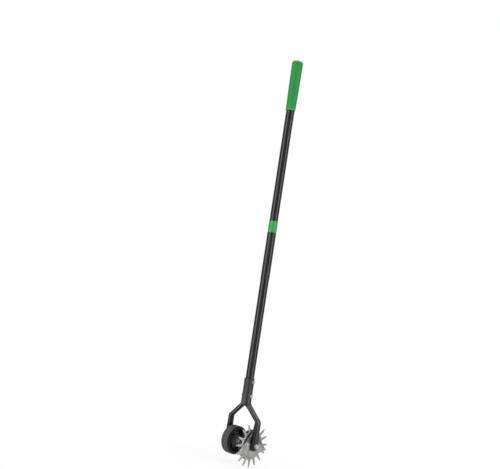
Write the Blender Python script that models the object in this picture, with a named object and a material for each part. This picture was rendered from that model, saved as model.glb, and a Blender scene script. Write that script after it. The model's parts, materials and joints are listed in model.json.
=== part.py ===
"""Rotary lawn edger.

A long handle carries a pressed steel fork. On the fork's axle bolt a rubber tyred wheel, a sleeve,
a flange and a star of sixteen tines turn together as one rotor. The tines pass close behind a fixed
shear plate, which cuts the grass as the tool is pushed along an edge.

Every height below is measured up from the centre of the axle, +Z along the handle. X runs along the
axle, with +X on the side of the star. The world origin is the middle of the hand grip, where the
tool is held, so one empty lowers the whole model by that height.
"""
import bpy
import bmesh
import math
from mathutils import Matrix, Vector

# Clearances
SEAT = 0.0003              # between two pieces that seat on each other
SHEAR_GAP = 0.0004         # between the turning star and the fixed shear plate
BOLT_PLAY = 0.0003         # from a bolt's shank to the wall of its hole
RIVET_HEAD_PLAY = 0.0006   # from a star rivet's head to the embossed plate

# Handle
TUBE_RADIUS = 0.0151
TUBE_WALL = 0.0031
TUBE_BOTTOM = 0.1405
HANDLE_LENGTH = 1.219      # from the tube's lower end to the top of the grip
CORE_LENGTH = 0.120        # dowel that keeps the bolts from crushing the tube

# Grip
GRIP_LENGTH = 0.180
HAND_PLACE = 0.0875         # from the top of the grip to the middle of the hand
GRIP_RIM_RADIUS = 0.0178
GRIP_NECK_RADIUS = 0.0175
GRIP_TOP_RADIUS = 0.0198
GRIP_RIM_HEIGHT = 0.004
GRIP_END_WALL = 0.0035
GRIP_END_CORNER = 0.0105

# Label
LABEL_BOTTOM = 0.573
LABEL_LENGTH = 0.167
BAND_LENGTH = 0.0407
FILM = 0.0004

# Fork, two pressed halves
SHEET = 0.0025
SOCKET_TOP = 0.2215
SOCKET_FLARE = 0.0009      # how far the mouth of the socket opens
SOCKET_FLARE_HEIGHT = 0.004
CROTCH = 0.1378            # where the two halves part
LEFT_REACH = 0.0655        # handle axis to the outer face of the arm beside the wheel
RIGHT_REACH = 0.0753       # handle axis to the outer face of the arm beside the star
ELBOW = 0.0845             # where the sloping arm meets the straight one
ARM_END = 0.0175           # how far the arms reach below the axle
END_FLAT = 0.30            # half width of the flat below an arm, in shares of its end's radius
ARM_DEPTH = 0.008
SLOPE_WIDTH = 0.0235
ARM_WIDTH = 0.0275
ARM_CORNER = 0.0036
SHOULDER_BEND = 0.007
ELBOW_BEND = 0.016
BEAD_WIDTH = 0.0105
BEAD_HEIGHT = 0.0019
BEAD_END = 0.012           # the stiffening bead stops above the axle washer
BEAD_FADE = 0.010          # over this height the bead runs out
BLEND_START = 0.004        # the round socket turns into a channel along this much of the slope
BLEND_LENGTH = 0.030

# Bolts through the socket
SOCKET_BOLT_HEIGHTS = {"lower": 0.162, "upper": 0.211}
SOCKET_BOLT_RADIUS = 0.003
SOCKET_BOLT_FLATS = 0.010
SOCKET_HEAD = 0.004
SOCKET_NUT = 0.005
SOCKET_BOLT_TAIL = 0.0015

# Axle
AXLE_RADIUS = 0.004
AXLE_FLATS = 0.013
AXLE_HEAD = 0.0053
AXLE_NUT = 0.0065
AXLE_TAIL = 0.003
WASHER_RADIUS = 0.008
WASHER = 0.0016
SPACER_RADIUS = 0.009

# Rotor: tyre, hub, sleeve, bushes, flange and star
TYRE_RADIUS = 0.050
TYRE_WIDTH = 0.031
TYRE_INSET = 0.0355        # outer face of the left arm to the middle of the tyre
TYRE_SHOULDER = 0.0035
SHOULDER_RUN = 1.3         # how far the shoulder runs in across the tread, in shares of its height
SHOULDER_KNEE = (0.64, 0.07)  # its middle point: share of its height in from the side, and down
TREAD_RIBS = 26
TREAD_DEPTH = 0.0009
RIM_RADIUS = 0.0430
RIM_WALL = 0.0026
RIM_LIP = 0.0014
RIM_LIP_HEIGHT = 0.0012
HUB_WEB = 0.003
HUB_WEB_INSET = 0.0045
HUB_BOSS_RADIUS = 0.0165
HUB_BOSS_LENGTH = 0.025
HUB_RIBS = 6
HUB_RIB = 0.0024
HUB_RIB_HEIGHT = 0.009
HUB_RIB_SLOPE = 0.0040     # how much lower a rib is at the rim than at the boss
SLEEVE_RADIUS = 0.0120
SLEEVE_WALL = 0.0032
SLEEVE_OVERHANG = 0.002    # sleeve beyond the rim on the far side
BUSH_LENGTH = 0.014
BUSH_FLANGE = 0.0021
BUSH_FLANGE_RADIUS = 0.0110
FLANGE_RADIUS = 0.0525
FLANGE_DEPTH = 0.010
FLANGE_SHEET = 0.0025
FLANGE_CORNER = 0.0035
STAR_INSET = 0.0202        # outer face of the right arm to the back of the star
STAR_SHEET = 0.0025
STAR_TINES = 16
STAR_TIP_RADIUS = 0.076
STAR_ROOT_RADIUS = 0.0505
TINE_ROOT_WIDTH = 0.0100
TINE_TIP_WIDTH = 0.0047
TIP_TURN = math.radians(84.0)  # how far a tine's round tip reaches to each side
STAR_RIVETS = 4
STAR_RIVET_CIRCLE = 0.0215
STAR_RIVET_RADIUS = 0.0025
STAR_RIVET_HEAD_RADIUS = 0.0045

# Shear plate, drawn in its own upright position and then turned about the axle
PLATE_SHEET = 0.0020
PLATE_TURN = math.radians(5.0)
PLATE_TOP = 0.0500
PLATE_TOP_HALF_WIDTH = 0.0150
PLATE_TOP_ROUND = 0.0055
PLATE_WAIST = 0.0270
PLATE_WAIST_HALF_WIDTH = 0.0280
PLATE_BEND = 0.0065
PLATE_BEND_HALF_WIDTH = 0.0430
BEND_PULL = 0.0065         # how far the edge's curves are pulled out past these points
WAIST_PULL = 0.0040
WING_REACH = 0.0700
WING_TIP_DROP = 0.0235
WING_TIP_BLUNT = 0.0016
WING_HEEL_REACH = 0.0350
WING_HEEL_DROP = 0.0300
PLATE_ARC_RADIUS = 0.0430
PLATE_ARC_START = math.radians(48.0)
EMBOSS_RADIUS = 0.0310
EMBOSS_SLOPE = 0.0030
EMBOSS_HEIGHT = 0.0027
WINDOW_LENGTH = 0.0145     # the drop shaped opening on each side of the axle
WINDOW_WIDTH = 0.0062
WINDOW_INNER_RADIUS = 0.0098
WINDOW_ANGLE = math.radians(46.0)
WINDOW_END_TURN = math.radians(109.0)

HEX_CHAMFER = 0.07         # of a hexagon's width across flats
HEX_FACE = 0.485           # radius of its round end face, in shares of that width
BOLT_POINT = 0.22          # chamfer of a bolt's end, in shares of its radius
NUT_LEAD = 0.09            # chamfer of a nut's bore, in shares of its thickness
RIVET_CROWN = 0.55         # flat of a rivet's head, in shares of the head's radius

ROUND = 32                 # sides of a large round piece
BEND_STEPS = 4             # steps round a bend of the fork
END_STEPS = 4              # steps round the end of an arm
END_TURN = math.radians(70.0)
SMALL_ROUND = 18           # sides of a bolt, washer or rivet


# Values that follow from the sizes above
GRIP_TOP = TUBE_BOTTOM + HANDLE_LENGTH
HAND_HEIGHT = GRIP_TOP - HAND_PLACE
TUBE_TOP = GRIP_TOP - GRIP_END_WALL - SEAT
TUBE_BORE = TUBE_RADIUS - TUBE_WALL
SOCKET_BORE = TUBE_RADIUS + SEAT
SOCKET_RADIUS = SOCKET_BORE + SHEET
SEAM = SEAT / 2
FLANGE_TIP_X = RIGHT_REACH - ARM_DEPTH
TYRE_MIDDLE_X = TYRE_INSET - LEFT_REACH
STAR_BACK_X = RIGHT_REACH - STAR_INSET
STAR_FRONT_X = STAR_BACK_X + STAR_SHEET
PLATE_BACK_X = STAR_FRONT_X + SHEAR_GAP
PLATE_LEAN = FLANGE_TIP_X - SEAT - PLATE_BACK_X - PLATE_SHEET
RIM_LEFT_X = TYRE_MIDDLE_X - TYRE_WIDTH / 2 - SEAT - RIM_LIP
RIM_RIGHT_X = TYRE_MIDDLE_X + TYRE_WIDTH / 2 + SEAT + RIM_LIP
SLEEVE_LEFT_X = RIM_LEFT_X - SLEEVE_OVERHANG
SLEEVE_BORE = SLEEVE_RADIUS - SLEEVE_WALL
AXLE_HOLE = AXLE_RADIUS + BOLT_PLAY


def clear_scene():
    """Remove whatever the file holds, so the script can be run again."""
    for old in list(bpy.data.objects):
        bpy.data.objects.remove(old, do_unlink=True)


def material(name, colour, roughness, metallic=0.0):
    """A Principled material with the piece's colour, roughness and metallic value."""
    finish = bpy.data.materials.new(name)
    finish.use_nodes = True
    shader = finish.node_tree.nodes["Principled BSDF"]
    shader.inputs["Base Color"].default_value = (*colour, 1.0)
    shader.inputs["Roughness"].default_value = roughness
    shader.inputs["Metallic"].default_value = metallic
    finish.diffuse_color = (*colour, 1.0)
    return finish


def finish_object(name, bm, look, parent):
    """Turn a bmesh into a named, smooth shaded object under its parent."""
    bmesh.ops.recalc_face_normals(bm, faces=bm.faces)
    mesh = bpy.data.meshes.new(name)
    bm.to_mesh(mesh)
    bm.free()
    mesh.materials.append(look)
    mesh.shade_smooth()
    mesh.set_sharp_from_angle(angle=math.radians(32))
    piece = bpy.data.objects.new(name, mesh)
    bpy.context.collection.objects.link(piece)
    piece.parent = parent
    return piece


def make_empty(name, place, parent=None):
    """An empty that carries pieces, such as the ones on the wheel's axis."""
    empty = bpy.data.objects.new(name, None)
    empty.location = place
    empty.empty_display_size = 0.05
    bpy.context.collection.objects.link(empty)
    empty.parent = parent
    return empty


def turned(profile, sides, about="X"):
    """Spin a closed profile of (along the axis, radius) points into a ring shaped solid.

    A profile point at radius zero lies on the axis, and makes a solid end there.
    """
    bm = bmesh.new()
    if about == "X":
        points = [bm.verts.new((along, 0.0, radius)) for along, radius in profile]
        axis = (1.0, 0.0, 0.0)
    else:
        points = [bm.verts.new((radius, 0.0, along)) for along, radius in profile]
        axis = (0.0, 0.0, 1.0)
    pairs = list(zip(points, points[1:] + points[:1]))
    edges = [bm.edges.new(pair) for pair, (a, b) in zip(pairs, zip(profile, profile[1:] + profile[:1]))
             if a[1] > 0.0 or b[1] > 0.0]
    bmesh.ops.spin(bm, geom=points + edges, cent=(0, 0, 0), axis=axis, angle=math.tau, steps=sides)
    bmesh.ops.remove_doubles(bm, verts=bm.verts, dist=1e-6)
    bmesh.ops.dissolve_degenerate(bm, edges=bm.edges, dist=1e-7)
    return bm


def skinned(rings, closed=False):
    """Join rings of equally many points into a skin, with its two ends capped unless it closes on itself."""
    bm = bmesh.new()
    loops = [[bm.verts.new(point) for point in ring] for ring in rings]
    pairs = list(zip(loops, loops[1:]))
    if closed:
        pairs.append((loops[-1], loops[0]))
    for first, second in pairs:
        count = len(first)
        for i in range(count):
            j = (i + 1) % count
            bm.faces.new((first[i], first[j], second[j], second[i]))
    if not closed:
        bm.faces.new(loops[0])
        bm.faces.new(loops[-1][::-1])
    return bm


def arc(centre, radius, start, end, steps):
    """Points on an arc in a plane, both ends included."""
    points = []
    for i in range(steps + 1):
        angle = start + (end - start) * i / steps
        points.append((centre[0] + radius * math.cos(angle), centre[1] + radius * math.sin(angle)))
    return points


def circle_ring(x, radius, centre=(0.0, 0.0)):
    """A ring of points round a line along X."""
    return [(x, centre[0] + y, centre[1] + z)
            for y, z in arc((0.0, 0.0), radius, 0.0, math.tau, SMALL_ROUND)[:-1]]


def hex_ring(x, across_flats, centre=(0.0, 0.0)):
    """A six sided ring with as many points as circle_ring gives."""
    points = []
    for i in range(SMALL_ROUND):
        angle = math.tau * i / SMALL_ROUND
        from_flat = (angle % (math.tau / 6)) - math.tau / 12
        reach = across_flats / 2 / math.cos(from_flat)
        points.append((x, centre[0] + reach * math.cos(angle), centre[1] + reach * math.sin(angle)))
    return points


def hex_rings(start, end, across_flats, centre):
    """Rings of a hexagon whose corners are chamfered at both faces."""
    chamfer = across_flats * HEX_CHAMFER * (1 if end > start else -1)
    face_radius = across_flats * HEX_FACE
    return [circle_ring(start, face_radius, centre),
            hex_ring(start + chamfer, across_flats, centre),
            hex_ring(end - chamfer, across_flats, centre),
            circle_ring(end, face_radius, centre)]


def hex_bolt(name, head_face_x, head, shank_end_x, radius, across_flats, height, look, parent):
    """A hexagon bolt along X whose head lies on the -X side, as one solid."""
    centre = (0.0, height)
    tip = radius * BOLT_POINT
    rings = hex_rings(head_face_x - head, head_face_x, across_flats, centre)
    rings += [circle_ring(head_face_x, radius, centre),
              circle_ring(shank_end_x - tip, radius, centre),
              circle_ring(shank_end_x, radius - tip, centre)]
    return finish_object(name, skinned(rings), look, parent)


def hex_nut(name, start_x, thickness, bore, across_flats, height, look, parent):
    """A hexagon nut along X, chamfered inside and out."""
    centre = (0.0, height)
    lead = thickness * NUT_LEAD
    rings = hex_rings(start_x, start_x + thickness, across_flats, centre)
    rings += [circle_ring(start_x + thickness, bore + lead, centre),
              circle_ring(start_x + thickness - lead, bore, centre),
              circle_ring(start_x + lead, bore, centre),
              circle_ring(start_x, bore + lead, centre)]
    return finish_object(name, skinned(rings, closed=True), look, parent)


def ring_piece(name, start_x, end_x, radius, bore, look, parent):
    """A washer or spacer round the axle."""
    profile = [(start_x, bore), (end_x, bore), (end_x, radius), (start_x, radius)]
    return finish_object(name, turned(profile, SMALL_ROUND), look, parent)


def cutter(name, bm, parent):
    """A tool body for a Boolean, kept out of the model itself."""
    tool = finish_object(name, bm, bpy.data.materials["cutter"], parent)
    tool.hide_render = True
    tool.display_type = "WIRE"
    return tool


def rod(start_x, end_x, radius, y=0.0, z=0.0):
    """A round bar along X, for holes."""
    return skinned([circle_ring(start_x, radius, (y, z)), circle_ring(end_x, radius, (y, z))])


def block(low, high):
    """A box between two corners."""
    bm = bmesh.new()
    size = Vector(high) - Vector(low)
    middle = (Vector(high) + Vector(low)) / 2
    place = Matrix.Translation(middle) @ Matrix.Diagonal((*size, 1.0))
    bmesh.ops.create_cube(bm, size=1.0, matrix=place)
    return bm


def combine(piece, tool, operation="DIFFERENCE"):
    """Cut a tool body out of a piece, or join it on."""
    step = piece.modifiers.new(tool.name, "BOOLEAN")
    step.object = tool
    step.operation = operation
    step.solver = "EXACT"


# Handle

def make_tube(look, parent, bolt_holes):
    """The fibreglass tube, drilled for the two socket bolts."""
    edge = 0.0005
    profile = [(TUBE_BOTTOM, TUBE_BORE), (TUBE_TOP, TUBE_BORE), (TUBE_TOP, TUBE_RADIUS - edge),
               (TUBE_TOP - edge, TUBE_RADIUS), (TUBE_BOTTOM + edge, TUBE_RADIUS),
               (TUBE_BOTTOM, TUBE_RADIUS - edge)]
    tube = finish_object("handle_tube", turned(profile, ROUND, "Z"), look, parent)
    for hole in bolt_holes:
        combine(tube, hole)


def make_core(look, parent, bolt_holes):
    """A dowel inside the socket end of the tube."""
    radius = TUBE_BORE - SEAT
    edge = 0.0015
    profile = [(TUBE_BOTTOM, 0.0), (TUBE_BOTTOM, radius), (TUBE_BOTTOM + CORE_LENGTH - edge, radius),
               (TUBE_BOTTOM + CORE_LENGTH, radius - edge), (TUBE_BOTTOM + CORE_LENGTH, 0.0)]
    core = finish_object("handle_core", turned(profile, ROUND, "Z"), look, parent)
    for hole in bolt_holes:
        combine(core, hole)


def make_grip(look, parent):
    """The moulded sleeve: a rim at its lower end, a slow swell, and a round shoulder to a flat end."""
    bottom = GRIP_TOP - GRIP_LENGTH
    bore = TUBE_RADIUS + SEAT
    rim_top = bottom + GRIP_RIM_HEIGHT
    swell_top = GRIP_TOP - GRIP_END_CORNER
    profile = [(bottom, bore), (bottom, GRIP_RIM_RADIUS), (rim_top - GRIP_RIM_HEIGHT / 4, GRIP_RIM_RADIUS),
               (rim_top, GRIP_NECK_RADIUS)]
    steps = 6
    for i in range(1, steps + 1):
        share = i / steps
        swell = math.sin(share * math.pi / 2)
        height = rim_top + (swell_top - rim_top) * share
        profile.append((height, GRIP_NECK_RADIUS + (GRIP_TOP_RADIUS - GRIP_NECK_RADIUS) * swell))
    middle = (swell_top, GRIP_TOP_RADIUS - GRIP_END_CORNER)
    profile += arc(middle, GRIP_END_CORNER, math.pi / 2, 0.0, 4)[1:]
    profile += [(GRIP_TOP, 0.0), (GRIP_TOP - GRIP_END_WALL, 0.0), (GRIP_TOP - GRIP_END_WALL, bore)]
    finish_object("grip", turned(profile, ROUND, "Z"), look, parent)


def make_film(name, bottom, length, look, parent):
    """A thin printed sleeve round the tube."""
    bore = TUBE_RADIUS + SEAT
    profile = [(bottom, bore), (bottom + length, bore), (bottom + length, bore + FILM), (bottom, bore + FILM)]
    finish_object(name, turned(profile, ROUND, "Z"), look, parent)


# Fork

def rounded_path(corners, radii, steps):
    """Points of a path in the X, Z plane whose corners are arcs, with the same count for equal steps."""
    path = [Vector(corners[0])]
    for before, corner, after, radius in zip(corners, corners[1:], corners[2:], radii):
        here = Vector(corner)
        towards = (Vector(before) - here).normalized()
        away = (Vector(after) - here).normalized()
        half = towards.angle(away) / 2
        reach = radius / math.tan(half)
        centre = here + (towards + away).normalized() * (radius / math.sin(half))
        first = here + towards * reach - centre
        turn = first.angle_signed(here + away * reach - centre)
        for i in range(steps + 1):
            spoke = first.copy()
            spoke.rotate(Matrix.Rotation(-turn * i / steps, 2))
            path.append(centre + spoke)
    path.append(Vector(corners[-1]))
    return path


def socket_half(radius, depth):
    """One half of the socket's section as (out from the seam, sideways) points, from the lip to the crown."""
    lip = math.acos(SEAM / radius)
    stretch = depth / (SOCKET_RADIUS - SEAM)
    return [((radius * math.cos(lip * (1 - i / 7)) - SEAM) * stretch, radius * math.sin(lip * (1 - i / 7)))
            for i in range(8)]


def channel_half(width, depth, bead, inset):
    """One half of the channel's section, from the lip of a flange to the crown of the bead.

    inset is zero for the outer skin and the sheet's thickness for the inner one.
    """
    half = width / 2
    corner = min(ARM_CORNER, half * 0.5)
    flat = half - corner
    bead_half = min(BEAD_WIDTH / 2, flat * 0.8)
    bend = corner - inset if corner > inset else corner * 0.1
    middle = (depth - corner, flat)
    diagonal = math.sqrt(0.5)
    return [(0.0, half - inset),
            (middle[0] * 0.5, half - inset),
            (middle[0], half - inset),
            (middle[0] + bend * diagonal, flat + bend * diagonal),
            (depth - inset, flat),
            (depth - inset, bead_half),
            (depth - inset + bead * 0.75, bead_half * 0.5),
            (depth - inset + bead, 0.0)]


def blended(first, second, share):
    """Points between two half sections of equal count."""
    return [(a[0] + (b[0] - a[0]) * share, a[1] + (b[1] - a[1]) * share) for a, b in zip(first, second)]


def fork_ring(lip, crown, width, bead, channel_share, flare):
    """The closed section of a fork half between its lip line and its crown line."""
    outward = crown - lip
    depth = outward.length
    outward.normalize()
    skins = []
    for radius, inset in ((SOCKET_RADIUS + flare, 0.0), (SOCKET_BORE + flare, SHEET)):
        channel = channel_half(width, depth, bead, inset)
        skins.append(blended(socket_half(radius, depth), channel, channel_share))
    outer, inner = skins
    outline = outer + [(n, -y) for n, y in outer[-2::-1]]
    outline += [(n, -y) for n, y in inner] + inner[-2::-1]
    return [(lip.x + outward.x * n, y, lip.y + outward.y * n) for n, y in outline]


def arm_width(height):
    """Width of an arm at a height: it widens below the elbow and rounds off at its end."""
    if height >= ELBOW:
        return SLOPE_WIDTH
    widening = min(1.0, (ELBOW - height) / ELBOW)
    width = SLOPE_WIDTH + (ARM_WIDTH - SLOPE_WIDTH) * widening
    end_radius = ARM_WIDTH / 2
    below = (ARM_END - end_radius) + height
    if below < 0.0:
        width = 2 * math.sqrt(max(end_radius ** 2 - below ** 2, (end_radius * END_FLAT) ** 2))
    return width


def fork_lines(reach):
    """Crown line and lip line of one half as (x, z) points, and the count of points in each bend.

    The sloping channel lies so that its lips start at the crotch and its back meets the elbow.
    """
    across = reach - SEAM
    drop = CROTCH - ELBOW
    slope = math.atan2(drop, across) + math.asin(ARM_DEPTH / math.hypot(across, drop))
    along = Vector((math.cos(slope), -math.sin(slope)))
    normal = Vector((math.sin(slope), math.cos(slope)))
    elbow = Vector((reach, ELBOW))
    shoulder = elbow - along * ((reach - SOCKET_RADIUS) / along.x)
    crotch = Vector((SEAM, CROTCH))
    tip_x = reach - ARM_DEPTH
    inner_elbow = crotch + along * ((tip_x - SEAM) / along.x)
    slope_start = shoulder - normal * ARM_DEPTH + along * ARM_DEPTH
    steps = BEND_STEPS
    bead_full = BEAD_END + BEAD_FADE
    crown_corners = [(SOCKET_RADIUS, SOCKET_TOP), shoulder, elbow, (reach, bead_full)]
    crown = rounded_path(crown_corners, [SHOULDER_BEND, ELBOW_BEND], steps)
    lips = [Vector((SEAM, SOCKET_TOP))]
    lips += [crotch.lerp(slope_start, i / steps) for i in range(steps + 1)]
    lip_corners = [slope_start, inner_elbow, (tip_x, bead_full)]
    lips += rounded_path(lip_corners, [ELBOW_BEND - ARM_DEPTH], steps)[1:]
    return crown, lips, steps


def fork_stations(reach):
    """Lip point, crown point, width, bead height, share of channel and flare down one half of the fork."""
    crown, lips, steps = fork_lines(reach)
    blend_end = steps + 2
    for share in (2 / 3, 1 / 3):
        crown.insert(blend_end, crown[blend_end - 1].lerp(crown[steps + 2], share))
        lips.insert(blend_end, lips[blend_end - 1].lerp(lips[steps + 2], share))
    stations = []
    for height, flare in ((SOCKET_TOP, SOCKET_FLARE), (SOCKET_TOP - SOCKET_FLARE_HEIGHT, 0.0)):
        crown_point = Vector((SOCKET_RADIUS, height))
        stations.append((Vector((SEAM, height)), crown_point, SLOPE_WIDTH, 0.0, 0.0, flare))
    crotch = lips[1]
    for lip, top in zip(lips[1:], crown[1:]):
        share = min(1.0, max(0.0, ((lip - crotch).length - BLEND_START) / BLEND_LENGTH))
        smooth = share * share * (3 - 2 * share)
        stations.append((lip, top, arm_width(top.y), BEAD_HEIGHT * smooth, smooth, 0.0))
    end_centre = ARM_WIDTH / 2 - ARM_END
    heights = [BEAD_END]
    heights += [end_centre - ARM_WIDTH / 2 * math.sin(END_TURN * i / END_STEPS) for i in range(END_STEPS + 1)]
    for height in heights + [-ARM_END]:
        lip = Vector((reach - ARM_DEPTH, height))
        stations.append((lip, Vector((reach, height)), arm_width(height), 0.0, 1.0, 0.0))
    return stations


def make_fork_half(name, side, reach, look, parent, bolt_holes, axle_hole):
    """One pressed half of the fork: half a socket, a sloping channel, and a straight arm to the axle."""
    rings = [fork_ring(*station) for station in fork_stations(reach)]
    bm = skinned(rings)
    if side < 0:
        bmesh.ops.scale(bm, vec=(-1.0, 1.0, 1.0), verts=bm.verts)
    half = finish_object(name, bm, look, parent)
    for hole in bolt_holes:
        combine(half, hole)
    combine(half, axle_hole)


# Rotor

def make_tyre(look, parent):
    """The rubber tyre: turned round, with ribs pressed across its tread."""
    left = TYRE_MIDDLE_X - TYRE_WIDTH / 2
    right = TYRE_MIDDLE_X + TYRE_WIDTH / 2
    bore = RIM_RADIUS + SEAT
    run = TYRE_SHOULDER * SHOULDER_RUN
    knee_in, knee_down = (TYRE_SHOULDER * share for share in SHOULDER_KNEE)
    foot = TYRE_RADIUS - TYRE_SHOULDER
    rings = []
    steps = TREAD_RIBS * 4
    for i in range(steps):
        low = i % 4 >= 2
        crown = TYRE_RADIUS - (TREAD_DEPTH if low else 0.0)
        section = [(left, bore), (left, foot), (left + knee_in, TYRE_RADIUS - knee_down),
                   (left + run, crown), (right - run, crown),
                   (right - knee_in, TYRE_RADIUS - knee_down), (right, foot), (right, bore)]
        angle = math.tau * i / steps
        rings.append([(x, -r * math.sin(angle), r * math.cos(angle)) for x, r in section])
    finish_object("tyre", skinned(rings, closed=True), look, parent)


def make_hub(look, parent):
    """The wheel centre: a rim with lips, a web near its far edge, a long boss, and ribs in the hollow."""
    lip = RIM_RADIUS + RIM_LIP_HEIGHT
    inside = RIM_RADIUS - RIM_WALL
    web_left = RIM_LEFT_X + HUB_WEB_INSET
    web_right = web_left + HUB_WEB
    boss_right = web_left + HUB_BOSS_LENGTH
    bore = SLEEVE_RADIUS + SEAT
    edge = 0.001
    fillet = 0.002
    profile = [(RIM_LEFT_X, bore), (boss_right, bore), (boss_right, HUB_BOSS_RADIUS - edge),
               (boss_right - edge, HUB_BOSS_RADIUS), (web_right + fillet, HUB_BOSS_RADIUS),
               (web_right, HUB_BOSS_RADIUS + fillet), (web_right, inside - fillet),
               (web_right + fillet, inside),
               (RIM_RIGHT_X, inside), (RIM_RIGHT_X, lip), (RIM_RIGHT_X - RIM_LIP, lip),
               (RIM_RIGHT_X - RIM_LIP, RIM_RADIUS), (RIM_LEFT_X + RIM_LIP, RIM_RADIUS),
               (RIM_LEFT_X + RIM_LIP, lip), (RIM_LEFT_X, lip), (RIM_LEFT_X, inside),
               (web_left, inside), (web_left, HUB_BOSS_RADIUS), (RIM_LEFT_X, HUB_BOSS_RADIUS)]
    hub = finish_object("wheel_hub", turned(profile, ROUND), look, parent)
    overlap = 0.001
    for i in range(HUB_RIBS):
        rib = block((web_right - overlap, -HUB_RIB / 2, HUB_BOSS_RADIUS - overlap),
                    (web_right + HUB_RIB_HEIGHT, HUB_RIB / 2, inside + overlap))
        for corner in rib.verts:
            if corner.co.x > web_right and corner.co.z > HUB_BOSS_RADIUS:
                corner.co.x -= HUB_RIB_SLOPE
        turn = Matrix.Rotation(math.tau * (i + 0.5) / HUB_RIBS, 3, "X")
        bmesh.ops.rotate(rib, verts=rib.verts, cent=(0, 0, 0), matrix=turn)
        combine(hub, cutter("rib_tool_%d" % (i + 1), rib, parent), "UNION")


def make_sleeve(look, parent):
    """The tube that makes wheel and star one rotor."""
    edge = 0.0006
    profile = [(SLEEVE_LEFT_X, SLEEVE_BORE), (STAR_FRONT_X, SLEEVE_BORE), (STAR_FRONT_X, SLEEVE_RADIUS),
               (SLEEVE_LEFT_X + edge, SLEEVE_RADIUS), (SLEEVE_LEFT_X, SLEEVE_RADIUS - edge)]
    finish_object("drive_sleeve", turned(profile, ROUND), look, parent)


def make_bush(name, end_x, side, look, parent):
    """A flanged bearing bush in one end of the sleeve. side is +1 where its flange points to +X."""
    face = end_x + side * SEAT
    edge = 0.0005
    outside = face + side * BUSH_FLANGE
    profile = [(outside, AXLE_HOLE), (outside, BUSH_FLANGE_RADIUS - edge),
               (outside - side * edge, BUSH_FLANGE_RADIUS), (face, BUSH_FLANGE_RADIUS),
               (face, SLEEVE_BORE - SEAT), (end_x - side * BUSH_LENGTH, SLEEVE_BORE - SEAT),
               (end_x - side * BUSH_LENGTH, AXLE_HOLE)]
    finish_object(name, turned(profile, SMALL_ROUND), look, parent)


def make_flange(look, parent, rivet_holes):
    """A pressed disc behind the star, its rim turned back towards the wheel."""
    front = STAR_BACK_X - SEAT
    back = front - FLANGE_SHEET
    rim_end = front - FLANGE_DEPTH
    centre = (front - FLANGE_CORNER, FLANGE_RADIUS - FLANGE_CORNER)
    outside = arc(centre, FLANGE_CORNER, math.pi / 2, 0.0, 3)[::-1]
    inside = arc(centre, FLANGE_CORNER - FLANGE_SHEET, math.pi / 2, 0.0, 2)
    bore = SLEEVE_RADIUS + SEAT
    profile = [(back, bore), (front, bore)] + outside + [(rim_end, FLANGE_RADIUS)]
    profile += [(rim_end, FLANGE_RADIUS - FLANGE_SHEET)] + inside
    flange = finish_object("drive_flange", turned(profile, ROUND), look, parent)
    for hole in rivet_holes:
        combine(flange, hole)


def star_outline():
    """The star's edge as (y, z) points: round valleys, straight tapering flanks and blunt round tips."""
    points = []
    tip_half = TINE_TIP_WIDTH / 2
    root_half = math.asin(TINE_ROOT_WIDTH / 2 / STAR_ROOT_RADIUS)
    pitch = math.tau / STAR_TINES
    tip_centre = STAR_TIP_RADIUS - tip_half
    for i in range(STAR_TINES):
        middle = pitch * i + math.pi / 2
        direction = Vector((math.cos(middle), math.sin(middle)))
        across = Vector((-direction.y, direction.x))
        root_low = middle - root_half
        points += arc((0.0, 0.0), STAR_ROOT_RADIUS, middle - pitch + root_half, root_low, 2)[1:]
        for y, z in arc((0.0, 0.0), tip_half, -TIP_TURN, TIP_TURN, 4):
            spot = direction * (tip_centre + y) + across * z
            points.append((spot.x, spot.y))
        root_high = middle + root_half
        points.append((STAR_ROOT_RADIUS * math.cos(root_high), STAR_ROOT_RADIUS * math.sin(root_high)))
    return points


def make_star(look, parent, rivet_holes):
    """The cutting star, punched from sheet."""
    outline = star_outline()
    bm = bmesh.new()
    face = bm.faces.new([bm.verts.new((STAR_BACK_X, y, z)) for y, z in outline])
    grown = bmesh.ops.extrude_face_region(bm, geom=[face])
    front = [corner for corner in grown["geom"] if isinstance(corner, bmesh.types.BMVert)]
    bmesh.ops.translate(bm, vec=(STAR_SHEET, 0, 0), verts=front)
    bmesh.ops.recalc_face_normals(bm, faces=bm.faces)
    star = finish_object("star_wheel", bm, look, parent)
    low, high = STAR_BACK_X - STAR_SHEET, STAR_FRONT_X + STAR_SHEET
    bore = cutter("star_bore_tool", rod(low, high, SLEEVE_RADIUS + SEAT), parent)
    combine(star, bore)
    for hole in rivet_holes:
        combine(star, hole)


def rivet_places():
    """Where the star's rivets lie round the axle."""
    return arc((0.0, 0.0), STAR_RIVET_CIRCLE, math.pi / 4, math.pi / 4 + math.tau, STAR_RIVETS)[:-1]


def make_star_rivets(look, parent):
    """Rivets through star and flange, with a low round head on each side."""
    back = STAR_BACK_X - SEAT - FLANGE_SHEET - SEAT
    front = STAR_FRONT_X + SEAT
    head = PLATE_BACK_X + EMBOSS_HEIGHT - RIVET_HEAD_PLAY - front
    for i, (y, z) in enumerate(rivet_places()):
        middle = (y, z)
        rings = [circle_ring(back - head, STAR_RIVET_HEAD_RADIUS * RIVET_CROWN, middle),
                 circle_ring(back, STAR_RIVET_HEAD_RADIUS, middle),
                 circle_ring(back, STAR_RIVET_RADIUS, middle),
                 circle_ring(front, STAR_RIVET_RADIUS, middle),
                 circle_ring(front, STAR_RIVET_HEAD_RADIUS, middle),
                 circle_ring(front + head, STAR_RIVET_HEAD_RADIUS * RIVET_CROWN, middle)]
        finish_object("star_rivet_%d" % (i + 1), skinned(rings), look, parent)


# Shear plate

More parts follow.
